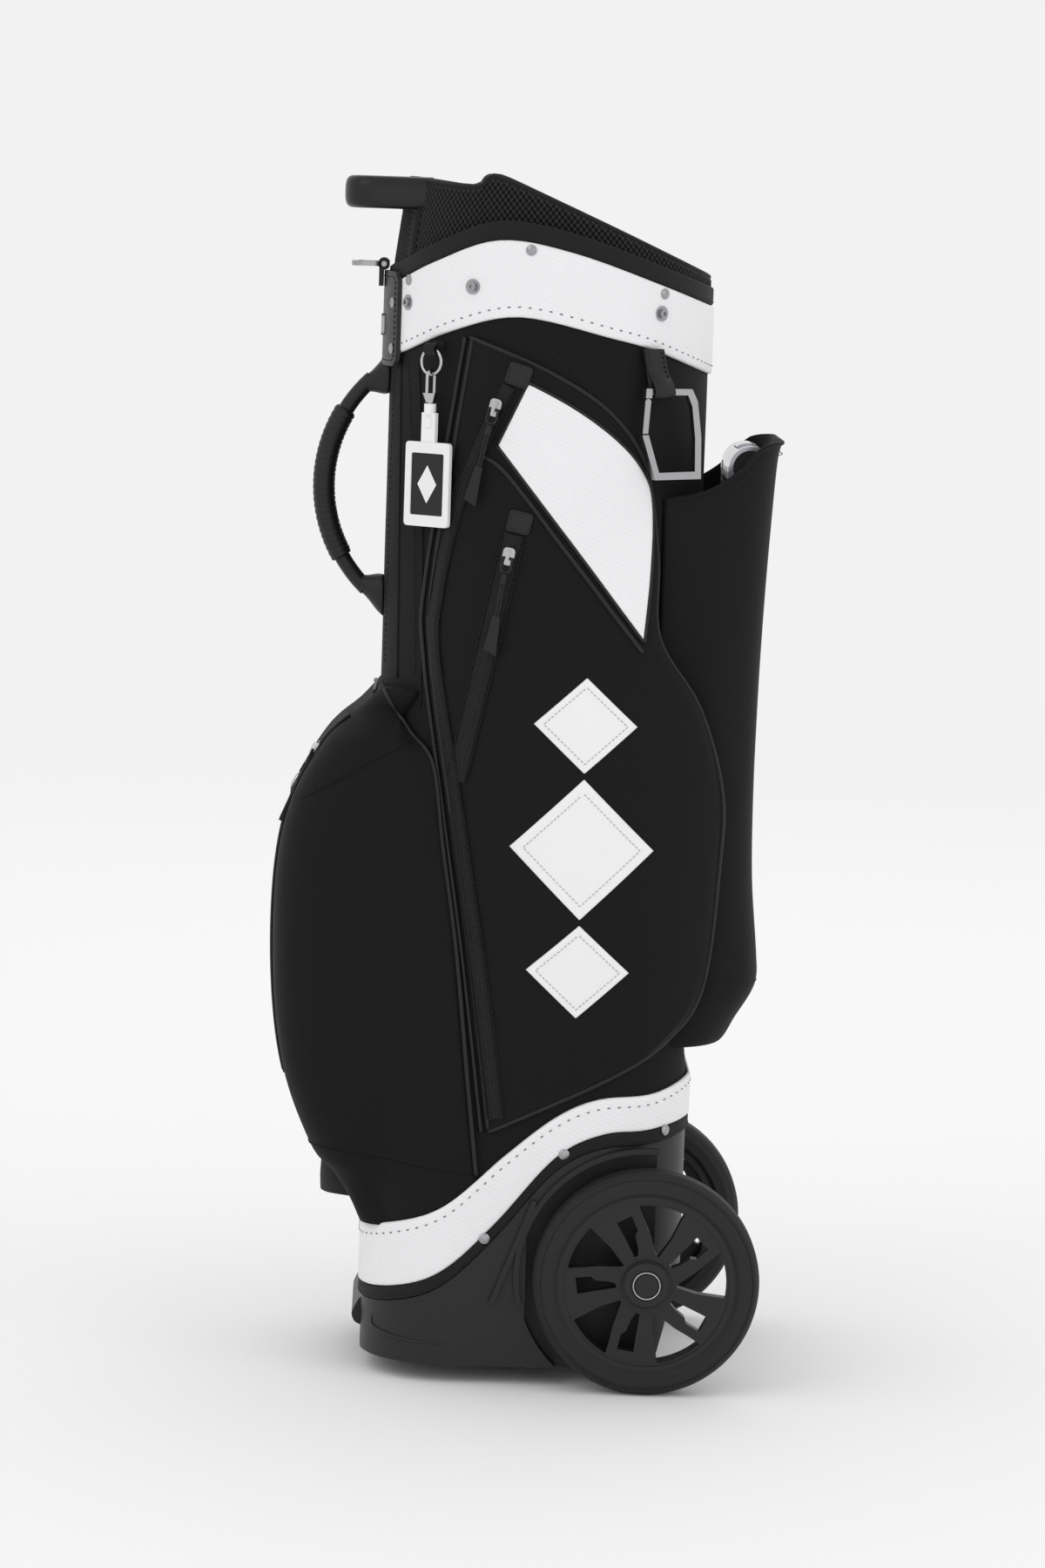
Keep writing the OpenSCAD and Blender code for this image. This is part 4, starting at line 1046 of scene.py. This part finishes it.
def build_sleeve():
    """Rear sleeve: one sheet of cloth round the pull handle, sewn to the body and closed below."""
    wall, radius, start = 2.2, 40.0, 96.0
    rear = smooth(SLEEVE_REAR, 9)
    rows_out, rows_in = [], []
    for back_x, z in rear:
        for rows, inset in ((rows_out, 0.0), (rows_in, wall)):
            x1, half = back_x - inset, SLEEVE_HALF - inset
            corner = min(radius, max(x1 - start - 2, 4)) - inset
            side = [(mix(start, x1 - corner, t), half) for t in ramp(16)]
            bend = [(x1 - corner + corner * sin(a), half - corner + corner * cos(a))
                    for a in quarter(12)]
            flat = [(x1, (half - corner) * (1 - t)) for t in ramp(10)[1:]]
            ring = []
            for x, y in side + bend + flat:
                drop = (SLEEVE_TOP - sleeve_mouth.at(x)) * ease((z - 520) / 184)
                height = z - drop + (inset if z < 250 else 0)
                fold = noise.noise(vec(x * 0.035, height * 0.006, 4.0))
                dent = ease((height - 250) / 60) * ease((SLEEVE_TOP - height) / 60) * ease((x - start) / 20)
                ring.append(vec(x - 1.2 * abs(fold) * dent * 0.3, -(y - dent * (0.5 + fold)), height))
            rows.append(both_sides(ring))
    hem_rows = [[mix(a, b, 0.5) + vec(0, 0, 0.9) for a, b in zip(rows_out[0], rows_in[0])]]
    shape = Shape().loft(hem_rows + rows_out + rows_in[::-1], around=False, along=True)
    n = len(rows_out[0])
    total = 2 * len(rows_out) + 1
    shape.faces.append(tuple(i * n for i in range(total)))
    shape.faces.append(tuple(i * n + n - 1 for i in reversed(range(total))))
    obj = shape.piece("sleeve_cloth", SLEEVE_NYLON, slot="shell_fabric")
    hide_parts("sleeve")

    def off(p, lift):
        return p + vec(p.x - SLEEVE_MIDDLE, p.y, 0).normalized() * lift

    dashes, hem, rim = Shape(), Shape(), rows_out[0]
    dashes.stitches([off(p, 0.35) - vec(0, 0, 8) for p in rim], 4.6, 3.0, 0.36)
    low = next(i for i, (x, z) in enumerate(rear) if z < 300)
    dashes.stitches([off(p, 0.3) for p in rows_out[low]], 4.6, 3.0, 0.36)
    dashes.piece("sleeve_stitches", THREAD)
    hem.tube([p + vec(0, 0, 0.4) for p in rim], 1.7)
    hem.piece("sleeve_hem", SLEEVE_NYLON)


def build_under_strap():
    """Webbing strap under the ball pocket, running round its front."""
    low, high = node_box("under_strap")
    half = high.y
    outline = [(-78, half - 3), (-112, half - 4), (-132, half - 16), (low.x + 2, half - 36), (low.x + 1.5, 0)]
    path = both_sides(smooth([[x, -y, 0] for x, y in outline], 8))
    rows = []
    for i, p in enumerate(path):
        side = level_side(path, i)
        t = i / (len(path) - 1)
        middle = (low.z + high.z) / 2 + 1.2 * sin(t * pi * 3)
        profile = [(-11.4, 0), (-10.6, 1.1), (0, 1.6), (10.6, 1.1), (11.4, 0), (10.6, -1.1), (0, -1.6),
                   (-10.6, -1.1)]
        rows.append([p + side * d + vec(0, 0, middle + h) for h, d in profile])
    obj = Shape().loft(rows, ends=True).piece("under_strap_look", WEBBING, slot="webbing")
    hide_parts("under_strap")


def build_grab_handle():
    """Padded leather handle with a thicker wrapped grip, whip-stitched inside."""
    low, high = node_box("grab_handle")
    arc_r = 108
    centre = vec(low.x + 8.2 + arc_r, 0, (low.z + high.z) / 2)

    def bend(angle, r=arc_r):
        a = radians(angle)
        return centre + vec(-cos(a), 0, sin(a)) * r

    core = Shape()
    core.tube([bend(a) for a in range(-47, 48)], 6.0, sides=20)

    def wrapped(t):
        ends = rounded(min(t, 1 - t) * 118, 2.5)
        return 6.2 + 1.9 * ends + 0.18 * sin(t * tau * 26)

    core.tube([bend(-31 + 62 * i / 260) for i in range(261)], wrapped, sides=24)
    for s in (-1, 1):
        foot = vec(-118, 0, centre.z + s * 82)
        rows = []
        for t in ramp(10):
            place = foot + vec(mix(-9, 8.6, t), 0, s * mix(-7, 2, t))
            w, h, square = mix(6.4, 12.5, ease(t)), mix(7, 15.5, ease(t)), mix(1, 0.65, t)
            rows.append([place + vec(0, w * squared(cos(a), square), h * squared(sin(a), square))
                         for a in angles(28)])
        core.loft(rows, ends=True)
    obj = core.piece("grab_handle_look", LEATHER, slot="black_leather")
    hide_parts("grab_handle")
    lace = Shape()
    for i in range(30):
        angle = -29 + 58 * i / 29
        start, end = bend(angle, arc_r - 7.9), bend(angle + 1.0, arc_r - 7.9)
        lace.tube([start + vec(0, -2.6, 0), start, end + vec(0, 2.6, 0)], 0.5, sides=6)
    lace.piece("grab_handle_lacing", THREAD)


def build_tab_trim():
    """Stitched border of the leather tab at the front."""
    r, inset = TUBE_R + 6.2, 4
    middle_z = (tab_low.z + tab_high.z) / 2
    ring = round_outline(2 * (tab_high.y - inset), tab_high.z - tab_low.z - 2 * inset, 6)
    path = []
    for (ya, za), (yb, zb) in zip(ring, ring[1:] + ring[:1]):
        for t in ramp(8)[:-1]:
            y, z = mix(ya, yb, t), mix(za, zb, t) + middle_z
            path.append(vec(TUBE_X - sqrt(r * r - y * y), y, z))
    Shape().stitches(path, 4.2, 2.8, 0.36).piece("tab_stitches", THREAD)


def build_base_trim():
    """Crescent crease low on each side of the base, and the silver ring on each hub."""
    crease = Shape()
    path = smooth([[-101, 0, 44], [-101, 0, 37], [-94, 0, 33.5], [-78, 0, 31], [-47, 0, 30]], 8)
    places = [shell(atan2(-body_y(p.x, 100), p.x - TUBE_X), p.z, 0.4) for p in path]
    crease.tube(places, lambda t: 0.5 + 1.3 * sin(pi * clamp(t)), sides=10)
    crease.both().piece("base_creases", CASE)
    for side, s in (("left", -1), ("right", 1)):
        low, high = node_box(f"{side}_cap")
        middle = (low + high) / 2
        face = low.y if s < 0 else high.y

        def ring(shape, radius, y, count):
            return shape.tube([vec(middle.x + radius * cos(a), y, middle.z + radius * sin(a))
                               for a in angles(count)], 0.55, closed=True)

        ring(Shape(), 9.9, face + s * -0.75, 64).piece(f"{side}_hub_ring", CHROME, body=f"{side}_wheel")
        tyre_low, tyre_high = node_box(f"{side}_tyre")
        lines = Shape()
        for radius, inset in ((79.2, 2.2), (70.5, 0.5)):
            ring(lines, radius, tyre_low.y + inset if s < 0 else tyre_high.y - inset, 128)
        lines.piece(f"{side}_tyre_lines", TYRE, body=f"{side}_wheel")


def build_tag_trim():
    """Black insert in the tag's frame, with a plain white rhombus on it."""
    low, high = node_box("tag_plate")
    middle = (low + high) / 2
    turn = Matrix.Rotation(radians(-40), 4, "Z")

    def plate(outline, y0, y1):
        rows = [[middle + turn @ vec(x * k, y, z * k) for x, z in outline]
                for y, k in ((y1, 1.0), (mix(y1, y0, 0.6), 1.0), (y0, 0.96))]
        return Shape().loft(rows, ends=True)

    insert = plate(round_outline(30.6, 45.6, 1.5), -1.15, -0.5)
    insert.piece("tag_insert", BLACK_PLASTIC, body="tag", flat=True)
    mark = plate([(0, 14), (9, 0), (0, -14), (-9, 0)], -1.4, -1.0)
    mark.piece("tag_mark", WHITE_PLASTIC, body="tag", flat=True)


def build_clip_strap():
    """Leather strap from under the collar band, doubled round the clip's bar and sewn."""
    low, _ = node_box("carabiner_strap")
    turn = Matrix.Rotation(radians(28), 4, "Z")
    bar = vec(CLIP_X, CLIP_Y, low.z + 5.7)
    half, thick, r = 8.7, 1.5, 4.7
    profile = [(5.8, 31), (5.2, 24), (4.8, 12)]
    profile += [(r * cos(a), -r * sin(a)) for a in (pi * k / 12 for k in range(13))]
    profile += [(-4.2, 3.6), (-2.2, 7.5), (0.8, 11), (2.6, 16), (3.4, 24), (4.0, 31)]
    curve = smooth([[y, z] for y, z in profile], 3)
    shape, sewn, rows, edges = Shape(), Shape(), [], ([], [])
    for i, p in enumerate(curve):
        a, b = curve[max(i - 1, 0)], curve[min(i + 1, len(curve) - 1)]
        ahead = (b - a).normalized()
        out = vec(-ahead[1], ahead[0])
        lean = -max(p[1], 0) * 0.2
        row = []
        for x, t in ((-half, 0), (-half + 0.5, 1), (0, 1.12), (half - 0.5, 1), (half, 0),
                     (half - 0.5, -1), (0, -1.0), (-half + 0.5, -1)):
            q = p + out * t * thick / 2
            row.append(bar + turn @ vec(x - 7 + lean, q[0], q[1]))
        rows.append(row)
        if i > len(curve) - 12:
            for edge, x in zip(edges, (-half + 2.2, half - 2.2)):
                q = p + out * (thick / 2 + 0.25)
                edge.append(bar + turn @ vec(x - 7 + lean, q[0], q[1]))
    shape.loft(rows, ends=True)
    obj = shape.piece("clip_strap", LEATHER, slot="black_leather")
    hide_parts("carabiner_strap")
    for edge in edges:
        sewn.stitches(edge, 3.4, 2.3, 0.3)
    sewn.piece("clip_strap_stitches", THREAD)


# ---- Camera, light and floor ----

def build_stage():
    target = vec(0, 0, 0.437)
    azimuth, elevation, roll, distance = (radians(-1.3), radians(6.5), radians(1.9), 4.0)
    data = bpy.data.cameras.new("camera")
    data.lens, data.sensor_width, data.sensor_fit = 121.2, 36.0, "AUTO"
    camera = link("camera", data)
    level = distance * cos(elevation)
    camera.location = target + Vector((sin(azimuth) * level, -cos(azimuth) * level,
                                       distance * sin(elevation)))
    look = (target - camera.location).to_track_quat("-Z", "Y").to_matrix().to_4x4()
    camera.matrix_world = Matrix.Translation(camera.location) @ look @ Matrix.Rotation(roll, 4, "Z")
    bpy.context.scene.camera = camera
    bpy.context.scene.view_settings.view_transform = "Standard"

    world = bpy.data.worlds.new("studio")
    bpy.context.scene.world = world
    world.use_nodes = True
    studio = (STUDIO, STUDIO, STUDIO, 1)
    background = world.node_tree.nodes["Background"]
    background.inputs["Color"].default_value = studio
    background.inputs["Strength"].default_value = 1.0
    for name, place, size, power in (("key", (-2.2, -2.6, 2.6), 2.2, 12), ("fill", (2.6, -2.2, 1.6), 2.4, 7),
                                     ("back", (0.4, 2.6, 2.6), 2.4, 8), ("low", (0.2, -3.2, 0.7), 1.6, 3)):
        light = bpy.data.lights.new(name, "AREA")
        light.size, light.energy = size, power
        lamp = link(name, light)
        lamp.location = place
        lamp.visible_camera = False
        lamp.rotation_euler = (vec(0, 0, 0.45) - Vector(place)).to_track_quat("-Z", "Y").to_euler()

    # Far from the bag the floor takes the background's tone, so no horizon shows
    backdrop, tree, bsdf, coords = looks("backdrop", (0.97, 0.97, 0.97), 0.9, spot=0.002)
    away = new_node(tree, "VectorMath", {0: coords}, "LENGTH").outputs["Value"]
    fade = new_node(tree, "MapRange", {"From Min": 0.8, "From Max": 6.0, "Value": away})
    glow = new_node(tree, "Emission", {"Color": studio})
    blend = new_node(tree, "MixShader", {
        0: fade.outputs["Result"], 1: bsdf.outputs["BSDF"], 2: glow.outputs["Emission"]})
    tree.links.new(blend.outputs["Shader"], tree.nodes["Material Output"].inputs["Surface"])
    mesh = bpy.data.meshes.new("floor")
    half = 30
    corners = [(-half, -half, 0), (half, -half, 0), (half, half, 0), (-half, half, 0)]
    mesh.from_pydata(corners, [], [(0, 1, 2, 3)])
    mesh.materials.append(backdrop)
    link("floor", mesh)


build_stage()
dress_nodes()
shell_cloth = build_shell()
build_bands()
build_mesh_collar()
build_lift_handle()
left_pocket, right_pocket = build_side_pockets()
pocket_skin = Skin(shell_cloth, left_pocket)
build_pocket_trim(pocket_skin)
build_applique(pocket_skin)
build_ball_trim(build_ball_pocket())
build_sleeve()
build_under_strap()
build_grab_handle()
build_tab_trim()
build_base_trim()
build_tag_trim()
build_clip_strap()
